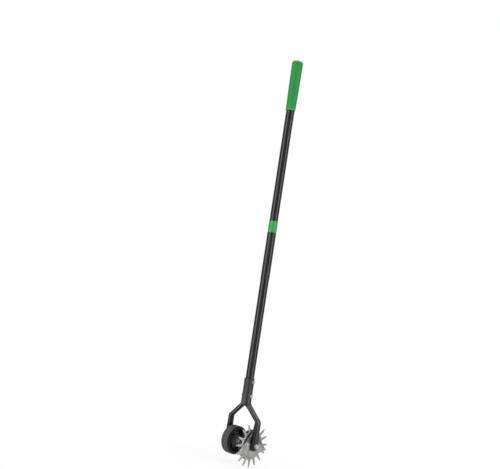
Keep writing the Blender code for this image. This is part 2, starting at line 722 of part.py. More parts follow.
def plate_outline():
    """The plate's edge as (y, z) points, anticlockwise from the tip of the +Y wing."""
    tip = (WING_REACH, -WING_TIP_DROP + WING_TIP_BLUNT)
    bend = (PLATE_BEND_HALF_WIDTH, PLATE_BEND)
    waist = (PLATE_WAIST_HALF_WIDTH, PLATE_WAIST)
    shoulder = (PLATE_TOP_HALF_WIDTH, PLATE_TOP - PLATE_TOP_ROUND)
    below_waist = (waist[0] + WAIST_PULL, (bend[1] + waist[1]) / 2)
    above_waist = ((waist[0] + shoulder[0]) / 2, (waist[1] + shoulder[1]) / 2)
    right = [(WING_REACH - WING_TIP_BLUNT, -WING_TIP_DROP - WING_TIP_BLUNT), tip]
    right += curve_between(tip, (bend[0] + BEND_PULL, bend[1] - BEND_PULL), bend, 3)
    right += curve_between(bend, below_waist, waist, 4)
    right += curve_between(waist, above_waist, shoulder, 2)
    right += curve_between(shoulder, (PLATE_TOP_HALF_WIDTH * 2 / 3, PLATE_TOP), (0.0, PLATE_TOP), 4)
    left = [(-y, z) for y, z in right[-2::-1]]
    heel = Vector((WING_HEEL_REACH, -WING_HEEL_DROP))
    start = PLATE_ARC_START - math.pi
    bottom = [(-heel.x, heel.y)]
    bottom += arc((0.0, 0.0), PLATE_ARC_RADIUS, start, -math.pi - start, 10)
    bottom += [(heel.x, heel.y)]
    return right + left + bottom


def curve_between(start, pull, end, steps):
    """Points of a quadratic curve after its start, pulled towards one control point."""
    points = []
    for i in range(1, steps + 1):
        t = i / steps
        shares = ((1 - t) ** 2, 2 * t * (1 - t), t ** 2)
        points.append(tuple(sum(w * p[k] for w, p in zip(shares, (start, pull, end))) for k in (0, 1)))
    return points


def plate_rise(y, z):
    """How far the pressed plate stands out towards the arm: its top leans, its middle is embossed."""
    reach = math.hypot(y, z)
    lean = PLATE_LEAN * max(0.0, (z - PLATE_BEND) / (PLATE_TOP - PLATE_BEND))
    step = (EMBOSS_RADIUS + EMBOSS_SLOPE / 2 - reach) / EMBOSS_SLOPE
    emboss = EMBOSS_HEIGHT * min(1.0, max(0.0, step))
    return max(lean, emboss)


def make_shear_plate(look, parent):
    """The fixed blade: a bell with two long wings, pressed from sheet and held on the axle behind the arm."""
    outline = plate_outline()
    edge_radii = [AXLE_HOLE, EMBOSS_RADIUS - EMBOSS_SLOPE / 2, EMBOSS_RADIUS + EMBOSS_SLOPE / 2]
    shares = (1 / 3, 2 / 3, 1.0)
    back = []
    spokes = [Vector(point) for point in outline]
    for radius in edge_radii:
        back.append([spoke.normalized() * radius for spoke in spokes])
    for share in shares:
        back.append([(spoke.normalized() * edge_radii[-1]).lerp(spoke, share) for spoke in spokes])
    rings = [[(PLATE_BACK_X + plate_rise(p.x, p.y), p.x, p.y) for p in ring] for ring in back]
    front = [[(x + PLATE_SHEET, y, z) for x, y, z in ring] for ring in rings]
    bm = skinned(rings + front[::-1], closed=True)
    plate = finish_object("shear_plate", bm, look, parent)
    plate.rotation_euler = (PLATE_TURN, 0.0, 0.0)
    for side in (-1, 1):
        wide = WINDOW_WIDTH / 2
        far = WINDOW_INNER_RADIUS + WINDOW_LENGTH - wide
        drop = [(WINDOW_INNER_RADIUS, 0.0)] + arc((far, 0.0), wide, -WINDOW_END_TURN, WINDOW_END_TURN, 10)
        turn = Matrix.Rotation(-math.pi / 2 + side * WINDOW_ANGLE, 2)
        shape = [turn @ Vector(point) for point in drop]
        low, high = PLATE_BACK_X - 0.001, FLANGE_TIP_X
        bm = skinned([[(x, p.x, p.y) for p in shape] for x in (low, high)])
        tool = cutter("window_tool_%s" % ("left" if side < 0 else "right"), bm, parent)
        combine(plate, tool)


# Axle and fasteners

def make_axle(steel, nylon, parent):
    """The axle bolt with its nut and washers, and the spacers that place the rotor and the plate."""
    washer_left = -(LEFT_REACH + SEAT)
    head_face = washer_left - WASHER - SEAT
    washer_right = RIGHT_REACH + SEAT
    nut_face = washer_right + WASHER + SEAT
    tail = nut_face + AXLE_NUT + AXLE_TAIL
    hex_bolt("axle_bolt", head_face, AXLE_HEAD, tail, AXLE_RADIUS, AXLE_FLATS, 0.0, steel, parent)
    hex_nut("axle_nut", nut_face, AXLE_NUT, AXLE_HOLE, AXLE_FLATS, 0.0, steel, parent)
    ring_piece("axle_washer_left", washer_left - WASHER, washer_left, WASHER_RADIUS, AXLE_HOLE, steel, parent)
    washer_end = washer_right + WASHER
    ring_piece("axle_washer_right", washer_right, washer_end, WASHER_RADIUS, AXLE_HOLE, steel, parent)
    low = SHEET + SEAT - LEFT_REACH
    high = SLEEVE_LEFT_X - SEAT - BUSH_FLANGE - SEAT
    ring_piece("wheel_spacer", low, high, SPACER_RADIUS, AXLE_HOLE, nylon, parent)
    low = PLATE_BACK_X + EMBOSS_HEIGHT + PLATE_SHEET + SEAT
    high = RIGHT_REACH - SHEET - SEAT
    ring_piece("plate_spacer", low, high, SPACER_RADIUS, AXLE_HOLE, steel, parent)


def make_socket_bolts(steel, parent):
    """Two bolts through socket, tube and core, heads on the -X side and nuts on the +X side."""
    face = SOCKET_RADIUS + SEAT
    for place, height in SOCKET_BOLT_HEIGHTS.items():
        hex_bolt("socket_bolt_" + place, -face, SOCKET_HEAD, face + SOCKET_NUT + SOCKET_BOLT_TAIL,
                 SOCKET_BOLT_RADIUS, SOCKET_BOLT_FLATS, height, steel, parent)
        hex_nut("socket_nut_" + place, face, SOCKET_NUT, SOCKET_BOLT_RADIUS + BOLT_PLAY, SOCKET_BOLT_FLATS,
                height, steel, parent)


def build():
    """Put the whole tool together."""
    clear_scene()
    material("cutter", (0.8, 0.2, 0.2), 0.8)
    fibreglass = material("black_fibreglass", (0.030, 0.031, 0.032), 0.28)
    wood = material("core_wood", (0.42, 0.29, 0.16), 0.75)
    green = material("green_grip", (0.030, 0.300, 0.062), 0.42)
    film = material("label_film", (0.022, 0.022, 0.023), 0.55)
    band = material("green_band", (0.040, 0.330, 0.075), 0.50)
    black_paint = material("black_painted_steel", (0.032, 0.034, 0.034), 0.38, 0.2)
    bright = material("bright_steel", (0.50, 0.50, 0.49), 0.34, 1.0)
    zinc = material("zinc_plated_steel", (0.62, 0.62, 0.60), 0.30, 1.0)
    rubber = material("black_rubber", (0.045, 0.046, 0.046), 0.78)
    plastic = material("black_plastic", (0.020, 0.024, 0.023), 0.48)
    nylon = material("grey_nylon", (0.16, 0.17, 0.17), 0.50)

    root = make_empty("axle_centre", (0.0, 0.0, -HAND_HEIGHT))
    rotor = make_empty("rotor_axis", (0.0, 0.0, 0.0), root)

    reach = max(LEFT_REACH, RIGHT_REACH) + 0.01
    hole = SOCKET_BOLT_RADIUS + BOLT_PLAY
    socket_holes = [cutter("socket_hole_" + place, rod(-reach, reach, hole, 0.0, height), root)
                    for place, height in SOCKET_BOLT_HEIGHTS.items()]
    axle_hole = cutter("axle_hole", rod(-reach, reach, AXLE_HOLE), root)
    low, high = STAR_BACK_X - FLANGE_DEPTH, STAR_FRONT_X + STAR_SHEET
    hole = STAR_RIVET_RADIUS + BOLT_PLAY
    rivet_holes = [cutter("rivet_hole_%d" % (i + 1), rod(low, high, hole, y, z), rotor)
                   for i, (y, z) in enumerate(rivet_places())]

    make_tube(fibreglass, root, socket_holes)
    make_core(wood, root, socket_holes)
    make_grip(green, root)
    make_film("label_sleeve", LABEL_BOTTOM, LABEL_LENGTH, film, root)
    make_film("label_band", LABEL_BOTTOM + LABEL_LENGTH + SEAT, BAND_LENGTH, band, root)
    make_fork_half("fork_half_left", -1, LEFT_REACH, black_paint, root, socket_holes, axle_hole)
    make_fork_half("fork_half_right", 1, RIGHT_REACH, black_paint, root, socket_holes, axle_hole)
    make_socket_bolts(zinc, root)
    make_axle(zinc, nylon, root)
    make_shear_plate(bright, root)
    make_tyre(rubber, rotor)
    make_hub(plastic, rotor)
    make_sleeve(black_paint, rotor)
    make_bush("bush_left", SLEEVE_LEFT_X, -1, nylon, rotor)
    make_bush("bush_right", STAR_FRONT_X, 1, nylon, rotor)
    make_flange(black_paint, rotor, rivet_holes)
    make_star(bright, rotor, rivet_holes)
    make_star_rivets(zinc, rotor)


build()
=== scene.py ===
# %% [markdown]
# # A rotary lawn edger, dressed for its picture
#
# The tool is a long black handle with a green grip. A pressed steel fork holds an axle at its foot.
# A rubber wheel rolls along the lawn's edge and turns a star of tines, and the tines cut the grass
# against a fixed shear plate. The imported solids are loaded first, and they stay where they are.
# Everything after that is finish and fine detail, in metres, with +Z up along the handle.

# %% Load the solids
import json
import math

import bpy
from mathutils import Matrix, Vector


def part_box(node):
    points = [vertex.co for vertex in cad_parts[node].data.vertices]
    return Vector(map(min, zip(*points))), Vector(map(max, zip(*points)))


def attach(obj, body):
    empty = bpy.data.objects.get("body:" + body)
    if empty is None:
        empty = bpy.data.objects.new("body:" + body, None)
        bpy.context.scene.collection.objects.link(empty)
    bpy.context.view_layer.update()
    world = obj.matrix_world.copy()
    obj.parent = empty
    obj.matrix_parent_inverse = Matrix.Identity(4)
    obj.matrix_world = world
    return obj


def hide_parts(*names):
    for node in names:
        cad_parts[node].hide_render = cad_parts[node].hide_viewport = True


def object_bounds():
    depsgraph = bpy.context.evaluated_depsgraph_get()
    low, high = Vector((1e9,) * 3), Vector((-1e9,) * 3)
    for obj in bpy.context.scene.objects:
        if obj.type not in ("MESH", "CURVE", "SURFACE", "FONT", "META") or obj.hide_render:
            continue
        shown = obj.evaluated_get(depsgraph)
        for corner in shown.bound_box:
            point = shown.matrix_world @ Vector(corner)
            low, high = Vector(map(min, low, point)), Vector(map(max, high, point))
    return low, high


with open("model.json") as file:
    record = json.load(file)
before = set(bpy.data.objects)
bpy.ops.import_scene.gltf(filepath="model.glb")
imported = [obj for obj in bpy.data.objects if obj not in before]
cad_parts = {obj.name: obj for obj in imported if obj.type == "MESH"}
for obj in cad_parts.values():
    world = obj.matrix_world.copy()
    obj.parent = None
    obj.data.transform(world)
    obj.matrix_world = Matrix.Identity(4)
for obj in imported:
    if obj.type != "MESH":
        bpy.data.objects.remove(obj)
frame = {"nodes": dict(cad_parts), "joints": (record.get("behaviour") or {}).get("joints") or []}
cad_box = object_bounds()
nodes = frame["nodes"]
print("solids loaded:", len(nodes))

# %% Where the wheels turn
AXLE_HEIGHT = frame["joints"][0]["pos_m"][2]
axle = Vector((0.0, 0.0, AXLE_HEIGHT))
tyre_low, tyre_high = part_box("tyre")
star_low, star_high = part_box("star_wheel")
print("axle height", AXLE_HEIGHT, "star radius", round((star_high.y - star_low.y) / 2, 4))

# %% [markdown]
# ## The camera
#
# The lens stands 3.4 m off and a little below the middle of the tool's height: the picture shows the
# wheels a little from above and the grip a little from below, so the grip's flat end stays out of sight.
# Three directions describe how the camera is turned: right, up and back, away from what it looks at.
# The handle leans to the right in the picture, so the camera is rolled a little. The first two are
# given, and each of the others is square to the two before it. Every object is added in one way, with
# nothing else selected, and gets a name.

# %% Directions of the view
RIGHT = Vector((0.71034, 0.68742, 0.15124)).normalized()
NEARLY_UP = Vector((-0.07811, -0.13656, 0.98755))
BACK = RIGHT.cross(NEARLY_UP).normalized()
UP = BACK.cross(RIGHT)
HEAD_TO_LENS = Vector((0.6740, -0.7190, 0.1696)).normalized()
LENS_DISTANCE = 3.4
LENS = 68.3  # the focal length in millimetres
print("right", RIGHT[:], "up", UP[:])

# %% Helper that starts a piece
def start_piece(name, add, **settings):
    """Adds an object with nothing else selected, and names it."""
    bpy.ops.object.select_all(action="DESELECT")
    add(**settings)
    piece = bpy.context.object
    piece.name = name
    return piece


# %% Place the camera
camera = start_piece("picture_camera", bpy.ops.object.camera_add,
                     location=axle + HEAD_TO_LENS * LENS_DISTANCE)
camera.data.lens = LENS
turn = Matrix([[RIGHT[i], UP[i], BACK[i]] for i in range(3)])
camera.rotation_euler = turn.to_euler()
bpy.context.scene.camera = camera
print("camera at", [round(value, 3) for value in camera.location])

# %% [markdown]
# ## The studio
#
# The picture has a white background and soft light. The floor and the world are white to the camera,
# and the floor keeps a part of its own shading under the tool, so the shadow still falls on it.
# Black gloss shows what stands around it: two tall soft lamps left and right draw the light streaks
# along the handle, and the room between them is dim. White lies behind the tool and to its right, so
# the steel of the star and the plate is bright.

# %% Helpers for nodes
def add_node(tree, kind, **settings):
    """Adds one node to a material or the world and gives it its settings."""
    node = tree.nodes.new(kind)
    for name, value in settings.items():
        setattr(node, name, value)
    return node


def reckon(tree, operation, first, second=0.0):
    """Joins two values with a Math node. Each one is a socket or a number."""
    joined = add_node(tree, "ShaderNodeMath", operation=operation)
    for socket, value in zip(joined.inputs, (first, second)):
        if isinstance(value, (int, float)):
            socket.default_value = value
        else:
            tree.links.new(value, socket)
    return joined.outputs[0]


def times(tree, first, second):
    """Both shares together: one value times the other."""
    return reckon(tree, "MULTIPLY", first, second)


def ease(tree, value, start, end, lowest, highest, curve="SMOOTHSTEP"):
    """Runs smoothly from lowest to highest while the value goes from start to end."""
    reach = add_node(tree, "ShaderNodeMapRange", interpolation_type=curve)
    for name, number in (("From Min", start), ("From Max", end), ("To Min", lowest), ("To Max", highest)):
        reach.inputs[name].default_value = number
    tree.links.new(value, reach.inputs["Value"])
    return reach.outputs["Result"]


def between(tree, value, start, end, blur):
    """One while the value lies between two limits, and zero outside them."""
    rise = ease(tree, value, start - blur, start + blur, 0.0, 1.0)
    return times(tree, rise, ease(tree, value, end - blur, end + blur, 1.0, 0.0))


def object_place(tree):
    """Where a spot lies in the frame."""
    return add_node(tree, "ShaderNodeTexCoord").outputs["Object"]


def reckon_place(tree, operation, place, other=(0, 0, 0)):
    """Joins a place and a vector with a Vector Math node."""
    joined = add_node(tree, "ShaderNodeVectorMath", operation=operation)
    joined.inputs[1].default_value = other
    tree.links.new(place, joined.inputs[0])
    return joined.outputs["Value" if operation in ("DOT_PRODUCT", "LENGTH") else "Vector"]


def along(tree, place, direction):
    """How far a place lies in one direction."""
    return reckon_place(tree, "DOT_PRODUCT", place, direction)


def shown_rays(tree):
    """Two values: one for rays from the camera or through glass, and one for rays from a mirror."""
    path = add_node(tree, "ShaderNodeLightPath")
    direct = reckon(tree, "MAXIMUM", path.outputs["Is Camera Ray"], path.outputs["Is Transmission Ray"])
    return direct, path.outputs["Is Glossy Ray"]


# %% The floor's sheet
FLOOR_DROP = 0.0005  # so that the tines don't touch the sheet
FLOOR_RADIUS = 1.7
floor_height = cad_box[0][2] - FLOOR_DROP

floor = start_piece("floor", bpy.ops.mesh.primitive_circle_add, vertices=96, radius=FLOOR_RADIUS,
                    fill_type="NGON", location=(0, 0, floor_height))
bpy.ops.object.transform_apply(location=True)
print("floor at", round(floor_height, 4))

# %% The floor's paint
FLOOR_COLOUR, FLOOR_ROUGHNESS = (0.86, 0.86, 0.86, 1), 0.9
FLOOR_SHADE = 0.12  # the share of real shading that the camera sees under the tool
SHADE_NEAR, SHADE_FAR = 0.15, 0.55  # metres from the tool, where that share starts to fade and ends
FLOOR_DIM, FLOOR_BRIGHT = 0.60, 0.80  # what dull surfaces and gloss get from this side and from beyond
DIM_END, BRIGHT_START = -0.10, 0.25  # metres beyond the tool
BEHIND = Vector((-BACK.x, -BACK.y, 0)).normalized()
BESIDE = Vector((RIGHT.x, RIGHT.y, 0)).normalized()
BEYOND = BESIDE * 0.8 + BEHIND * 0.6  # beside and behind

floor_paint = bpy.data.materials.new("white_floor")
floor_paint.use_nodes = True
tree = floor_paint.node_tree
matt = tree.nodes["Principled BSDF"]
matt.inputs["Base Color"].default_value = FLOOR_COLOUR
matt.inputs["Roughness"].default_value = FLOOR_ROUGHNESS
flat = reckon_place(tree, "MULTIPLY", object_place(tree), (1, 1, 0))
distance = reckon_place(tree, "LENGTH", flat)
direct, mirrored = shown_rays(tree)
shade = ease(tree, distance, SHADE_NEAR, SHADE_FAR, FLOOR_SHADE, 0.0)
white_share = times(tree, direct, reckon(tree, "SUBTRACT", 1.0, shade))
beyond = along(tree, flat, BEYOND)
gleam = ease(tree, beyond, DIM_END, BRIGHT_START, FLOOR_DIM, FLOOR_BRIGHT)
glow = add_node(tree, "ShaderNodeEmission")
tree.links.new(reckon(tree, "MAXIMUM", direct, gleam), glow.inputs["Strength"])
paint_mix = add_node(tree, "ShaderNodeMixShader")
tree.links.new(reckon(tree, "MAXIMUM", white_share, mirrored), paint_mix.inputs["Fac"])
tree.links.new(matt.outputs[0], paint_mix.inputs[1])
tree.links.new(glow.outputs[0], paint_mix.inputs[2])
tree.links.new(paint_mix.outputs[0], tree.nodes["Material Output"].inputs["Surface"])
floor.data.materials.append(floor_paint)
print("floor keeps", FLOOR_SHADE, "of its own shading under the tool")

# %% The room around
ROOM_LIGHT = 0.30  # what the room gives to dull surfaces
ROOM_DIM = 0.14  # what gloss shows of the room in front of the tool
BACKDROP_EDGE, BACKDROP_FULL = 0.55, 0.85

world = bpy.data.worlds.new("studio")
bpy.context.scene.world = world
world.use_nodes = True
tree = world.node_tree
direct, mirrored = shown_rays(tree)
look = add_node(tree, "ShaderNodeTexCoord").outputs["Generated"]
backdrop = ease(tree, along(tree, look, BEHIND), BACKDROP_EDGE, BACKDROP_FULL, ROOM_DIM, 1.0)
reflected = times(tree, mirrored, backdrop)
soft = times(tree, reckon(tree, "SUBTRACT", 1.0, mirrored), ROOM_LIGHT)
strength = reckon(tree, "MAXIMUM", direct, reckon(tree, "ADD", reflected, soft))
sky = tree.nodes["Background"]
sky.inputs["Color"].default_value = (1, 1, 1, 1)
tree.links.new(strength, sky.inputs["Strength"])
print("room light", ROOM_LIGHT)

# %% Soft lamps
LAMP_HEIGHT = 0.35  # above the axle


def soft_lamp(name, towards, distance, width, height, watts, middle):
    """A rectangular lamp that stands off a point of the tool and shines at it."""
    place = middle + towards.normalized() * distance
    lamp = start_piece(name, bpy.ops.object.light_add, type="AREA", location=place)
    lamp.data.shape = "RECTANGLE"
    lamp.data.size = width
    lamp.data.size_y = height
    lamp.data.energy = watts
    lamp.rotation_euler = towards.to_track_quat("Z", "Y").to_euler()
    print(name, "at", [round(value, 2) for value in place], "of", watts, "W")


in_front = -BEHIND
lamp_middle = axle + Vector((0, 0, LAMP_HEIGHT))
soft_lamp("left_lamp", in_front * 0.60 - BESIDE * 0.80, distance=2.2, width=1.2, height=3.4, watts=48,
          middle=lamp_middle)
soft_lamp("right_lamp", in_front * 0.54 + BESIDE * 0.84, distance=2.2, width=0.8, height=3.4, watts=38,
          middle=lamp_middle)
soft_lamp("top_lamp", Vector((-0.05, 0.15, 1)), distance=2.4, width=1.8, height=1.8, watts=34, middle=axle)

# %% [markdown]
# ## Finishes
#
# Each finish starts from a Principled shader. Noise in object coordinates varies its colour and its
# roughness a little, and a bump gives the fine relief that a hand would feel: the fibres of the
# handle, the skin of the paint, the grinding marks of the steel. What is the same all over a piece is
# set on the shader's own socket, and only what varies is linked. The socket keeps the mean even then,
# because an export can't read what is linked.

# %% Helpers for finishes
def new_finish(name, colour, roughness, metallic=0.0, gloss=0.5):
    """Makes a material and sets what is the same all over it."""
    finish = bpy.data.materials.new(name)
    finish.use_nodes = True
    shader = finish.node_tree.nodes["Principled BSDF"]
    shader.inputs["Base Color"].default_value = (*colour, 1)
    shader.inputs["Roughness"].default_value = roughness
    shader.inputs["Metallic"].default_value = metallic
    shader.inputs["Specular IOR Level"].default_value = gloss
    return finish, finish.node_tree, shader


def feed(shader, socket, value):
    """Links a value that varies to one of the shader's sockets."""
    shader.id_data.links.new(value, shader.inputs[socket])


def dress(finish, *names):
    """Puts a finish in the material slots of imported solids."""
    for name in names:
        for slot in nodes[name].material_slots:
            slot.material = finish
    print(finish.name, "on", ", ".join(names))


# %% Helpers for patterns
PATTERN_LOW, PATTERN_HIGH = 0.35, 0.65  # noise seldom leaves this range


def noise_pattern(tree, size, stretch=(1, 1, 1), detail=4):
    """Noise whose grains are about size metres across, drawn out where stretch is above one."""
    mapping = add_node(tree, "ShaderNodeMapping")
    grain = add_node(tree, "ShaderNodeTexNoise")
    mapping.inputs["Scale"].default_value = [1 / (size * value) for value in stretch]
    grain.inputs["Scale"].default_value = 1.0
    grain.inputs["Detail"].default_value = detail
    tree.links.new(object_place(tree), mapping.inputs["Vector"])
    tree.links.new(mapping.outputs["Vector"], grain.inputs["Vector"])
    return grain.outputs["Fac"]


def two_tones(tree, pattern, dark, light):
    """A colour that runs from dark to light as the pattern goes from low to high."""
    ramp = add_node(tree, "ShaderNodeValToRGB")
    for stop, position, tone in zip(ramp.color_ramp.elements, (PATTERN_LOW, PATTERN_HIGH), (dark, light)):
        stop.position = position
        stop.color = (*tone, 1)
    tree.links.new(pattern, ramp.inputs["Fac"])
    return ramp.outputs["Color"]


def spread(tree, pattern, lowest, highest, low=PATTERN_LOW, high=PATTERN_HIGH):
    """A number that runs from lowest to highest as the pattern goes from low to high."""
    return ease(tree, pattern, low, high, lowest, highest, curve="LINEAR")


def relief(shader, pattern, height, strength):
    """Raises the surface by up to height metres where the pattern is high."""
    tree = shader.id_data
    bump = add_node(tree, "ShaderNodeBump")
    bump.inputs["Distance"].default_value = height
    bump.inputs["Strength"].default_value = strength
    tree.links.new(pattern, bump.inputs["Height"])
    feed(shader, "Normal", bump.outputs["Normal"])


def mixed(tree, share, first, second):
    """A colour that turns from the first to the second as the share goes from zero to one."""
    mix = add_node(tree, "ShaderNodeMix", data_type="RGBA")
    tree.links.new(share, mix.inputs["Factor"])
    tree.links.new(first, mix.inputs["A"])
    tree.links.new(second, mix.inputs["B"])
    return mix.outputs["Result"]


# %% Helpers for places
def from_axle(tree):
    """A place measured from the middle of the axle."""
    return reckon_place(tree, "SUBTRACT", object_place(tree), axle)


def off_axle(tree):
    """How far a place lies from the axle's line."""
    return reckon_place(tree, "LENGTH", reckon_place(tree, "MULTIPLY", from_axle(tree), (0, 1, 1)))


# %% [markdown]
# The handle is a tube of glass fibre drawn through a die, so its surface is smooth and black with very
# fine lines along it. Noise that is drawn out along Z gives both the lines and their slight sheen. The
# plug of ash in its foot has the same noise, coarser and in two browns, as its grain.

# %% Fibreglass of the handle
handle_finish, tree, shader = new_finish("black_fibreglass", (0.008, 0.008, 0.009), roughness=0.3)
fibres = noise_pattern(tree, size=0.0006, stretch=(1, 1, 60))
feed(shader, "Base Color", two_tones(tree, fibres, (0.010, 0.010, 0.011), (0.018, 0.018, 0.019)))
feed(shader, "Roughness", spread(tree, fibres, 0.24, 0.34))
relief(shader, fibres, height=0.00003, strength=0.4)
dress(handle_finish, "handle_tube")

# %% Wood of the core
core_finish, tree, shader = new_finish("core_ash_wood", (0.42, 0.29, 0.16), roughness=0.6)
rings = noise_pattern(tree, size=0.004, stretch=(1, 1, 25), detail=6)
feed(shader, "Base Color", two_tones(tree, rings, (0.30, 0.19, 0.10), (0.52, 0.37, 0.22)))
relief(shader, rings, height=0.0001, strength=0.5)
dress(core_finish, "handle_core")

# %% [markdown]
# The grip is a soft green sleeve, moulded smooth. A faint orange peel breaks its shine, and its green
# is a little uneven, as a coloured rubber is. Its foot is painted pale, as a painted highlight of the light
# that its rolled rim catches.

# %% Green rubber of the grip
RIM_HIGHLIGHT_FULL, RIM_HIGHLIGHT_END = 0.0036, 0.0060  # up to where it is all pale, and where it is all green

grip_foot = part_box("grip")[0].z
grip_finish, tree, shader = new_finish("green_grip_rubber", (0.03, 0.30, 0.062), roughness=0.42, gloss=0.28)
mottle = noise_pattern(tree, size=0.018, detail=3)
peel = noise_pattern(tree, size=0.0011, detail=2)
green = two_tones(tree, mottle, (0.018, 0.250, 0.047), (0.025, 0.295, 0.056))
# painted highlight: a paler green on the foot, for the light that its rolled rim catches
rim_highlight = two_tones(tree, mottle, (0.10, 0.34, 0.145), (0.13, 0.39, 0.180))
height = along(tree, object_place(tree), (0, 0, 1))
rim_highlight_share = ease(tree, height, grip_foot + RIM_HIGHLIGHT_FULL, grip_foot + RIM_HIGHLIGHT_END, 1.0, 0.0)
feed(shader, "Base Color", mixed(tree, rim_highlight_share, green, rim_highlight))
feed(shader, "Roughness", spread(tree, mottle, 0.40, 0.50))
relief(shader, peel, height=0.00005, strength=0.5)
dress(grip_finish, "grip")

# %% [markdown]
# The label is a thin film shrunk round the tube, black with a green band above it. A film never lies
# quite flat, so its relief is a low, wide wave. Both films differ in their tones alone, so a loop makes
# them from a table.

# %% Films of the label
FILM_TONES = {"label_sleeve": ("black_label_film", (0.013, 0.013, 0.014), (0.020, 0.020, 0.021), 0.34),
              "label_band": ("green_label_film", (0.036, 0.31, 0.070), (0.045, 0.35, 0.082), 0.38)}

film_finishes = {}
for node, (name, dark, light, dullness) in FILM_TONES.items():
    film_finishes[node], tree, shader = new_finish(name, dark, roughness=dullness)
    waves = noise_pattern(tree, size=0.009, stretch=(1, 1, 2), detail=2)
    feed(shader, "Base Color", two_tones(tree, waves, dark, light))
    relief(shader, waves, height=0.0002, strength=0.3)
    dress(film_finishes[node], node)

# %% [markdown]
# The fork and the flange are pressed steel under black paint. Paint from a bath runs a little before it
# sets, so its skin has low waves some millimetres long, and the reflections wobble. The sleeve in the
# middle of the wheel has such paint too, but worn: noise with a hard edge lets the steel show through.

# %% Black paint of the pressed steel
paint_finish, tree, shader = new_finish("black_steel_paint", (0.020, 0.021, 0.021), roughness=0.33)
waves = noise_pattern(tree, size=0.004, detail=3)
cloud = noise_pattern(tree, size=0.022)
feed(shader, "Base Color", two_tones(tree, cloud, (0.009, 0.010, 0.010), (0.014, 0.015, 0.015)))
feed(shader, "Roughness", spread(tree, cloud, 0.24, 0.34))
relief(shader, waves, height=0.00012, strength=0.5)
dress(paint_finish, "drive_flange")

# %% Worn paint of the sleeve
worn_finish, tree, shader = new_finish("worn_black_paint", (0.20, 0.20, 0.20), roughness=0.40)
rubs = noise_pattern(tree, size=0.0030, detail=5)
worn_share = spread(tree, rubs, 0.0, 1.0, 0.36, 0.50)
black = two_tones(tree, rubs, (0.012, 0.013, 0.013), (0.020, 0.021, 0.021))
steel = two_tones(tree, rubs, (0.46, 0.46, 0.45), (0.62, 0.62, 0.61))
feed(shader, "Base Color", mixed(tree, worn_share, black, steel))
feed(shader, "Metallic", worn_share)
feed(shader, "Roughness", spread(tree, rubs, 0.32, 0.48))
relief(shader, rubs, height=0.00008, strength=0.5)
dress(worn_finish, "drive_sleeve")

# %% [markdown]
# The fork has the same paint. Painted highlights lighten the shoulders of the bead that stands out of
# each arm, and painted shade takes the gloss from the hollows beside them. The cut edges of the sheet are
# given a nearly bare metal as a painted highlight, and painted light makes the insides of the channels
# grey. Where a spot lies and where its face looks say which of these it is.

# %% Places on the fork
# from the middle line of an arm
HIGHLIGHT_IN, HIGHLIGHT_OUT, HIGHLIGHT_BLUR = 0.0018, 0.0053, 0.0004
HOLLOW_IN, HOLLOW_OUT, HOLLOW_BLUR = 0.0056, 0.0094, 0.0003
EDGE_START, EDGE_FULL = 0.0085, 0.0091
# above the axle
ELBOW_BELOW, ELBOW_ABOVE = 0.070, 0.088
BEAD_FULL, BEAD_TOP = 0.110, 0.122
SOCKET_END, SOCKET_FULL = 0.126, 0.142
# how far a face looks out, in or to the middle, from where it starts to count to where it does
FACES_OUT, FACES_IN, FACES_MIDDLE = (0.25, 0.50), (-0.60, -0.45), (-0.70, -0.40)
LOWER_HIGHLIGHT = 0.4  # the share of the painted highlights below the elbow

fork_finish, tree, shader = new_finish("black_fork_paint", (0.020, 0.021, 0.021), roughness=0.28, gloss=0.3)
spot = from_axle(tree)
facing = add_node(tree, "ShaderNodeTexCoord").outputs["Normal"]
off_middle = reckon(tree, "ABSOLUTE", along(tree, spot, (0, 1, 0)))
outward = times(tree, along(tree, facing, (1, 0, 0)), reckon(tree, "SIGN", along(tree, spot, (1, 0, 0))))
sideways = times(tree, along(tree, facing, (0, 1, 0)), reckon(tree, "SIGN", along(tree, spot, (0, 1, 0))))
height = along(tree, spot, (0, 0, 1))
upper = ease(tree, height, ELBOW_BELOW, ELBOW_ABOVE, LOWER_HIGHLIGHT, 1.0)
on_socket = ease(tree, height, SOCKET_END, SOCKET_FULL, 0.0, 1.0)
outer_face = ease(tree, outward, *FACES_OUT, 0.0, 1.0)
on_arm = times(tree, outer_face, ease(tree, height, BEAD_FULL, BEAD_TOP, 1.0, 0.0))
# painted highlight on the bead's shoulders, painted shade in the hollows, painted highlight on the cut
# edges, painted light inside the channels
shoulder = between(tree, off_middle, HIGHLIGHT_IN, HIGHLIGHT_OUT, HIGHLIGHT_BLUR)
painted_highlight = times(tree, times(tree, on_arm, upper), shoulder)
shaded_hollow = times(tree, on_arm, between(tree, off_middle, HOLLOW_IN, HOLLOW_OUT, HOLLOW_BLUR))
inner_face = times(tree, upper, ease(tree, outward, *FACES_IN, 1.0, 0.0))
edge_highlight = times(tree, inner_face, ease(tree, off_middle, EDGE_START, EDGE_FULL, 0.0, 1.0))
inside = ease(tree, sideways, *FACES_MIDDLE, 1.0, 0.0)
print("rubbed from", HIGHLIGHT_IN, "to", HIGHLIGHT_OUT, "m off the middle line of each arm")

# %% Black paint of the fork
SOCKET_DULL, SOCKET_GLOSS = 0.16, 0.3  # added on the socket
EDGE_HIGHLIGHT_METAL = 0.85
FORK_GLOSS, HOLLOW_GLOSS = 0.32, 0.08

waves = noise_pattern(tree, size=0.004, detail=3)
cloud = noise_pattern(tree, size=0.022)
black = two_tones(tree, cloud, (0.007, 0.008, 0.008), (0.011, 0.012, 0.012))
satin = two_tones(tree, cloud, (0.022, 0.023, 0.023), (0.033, 0.034, 0.034))
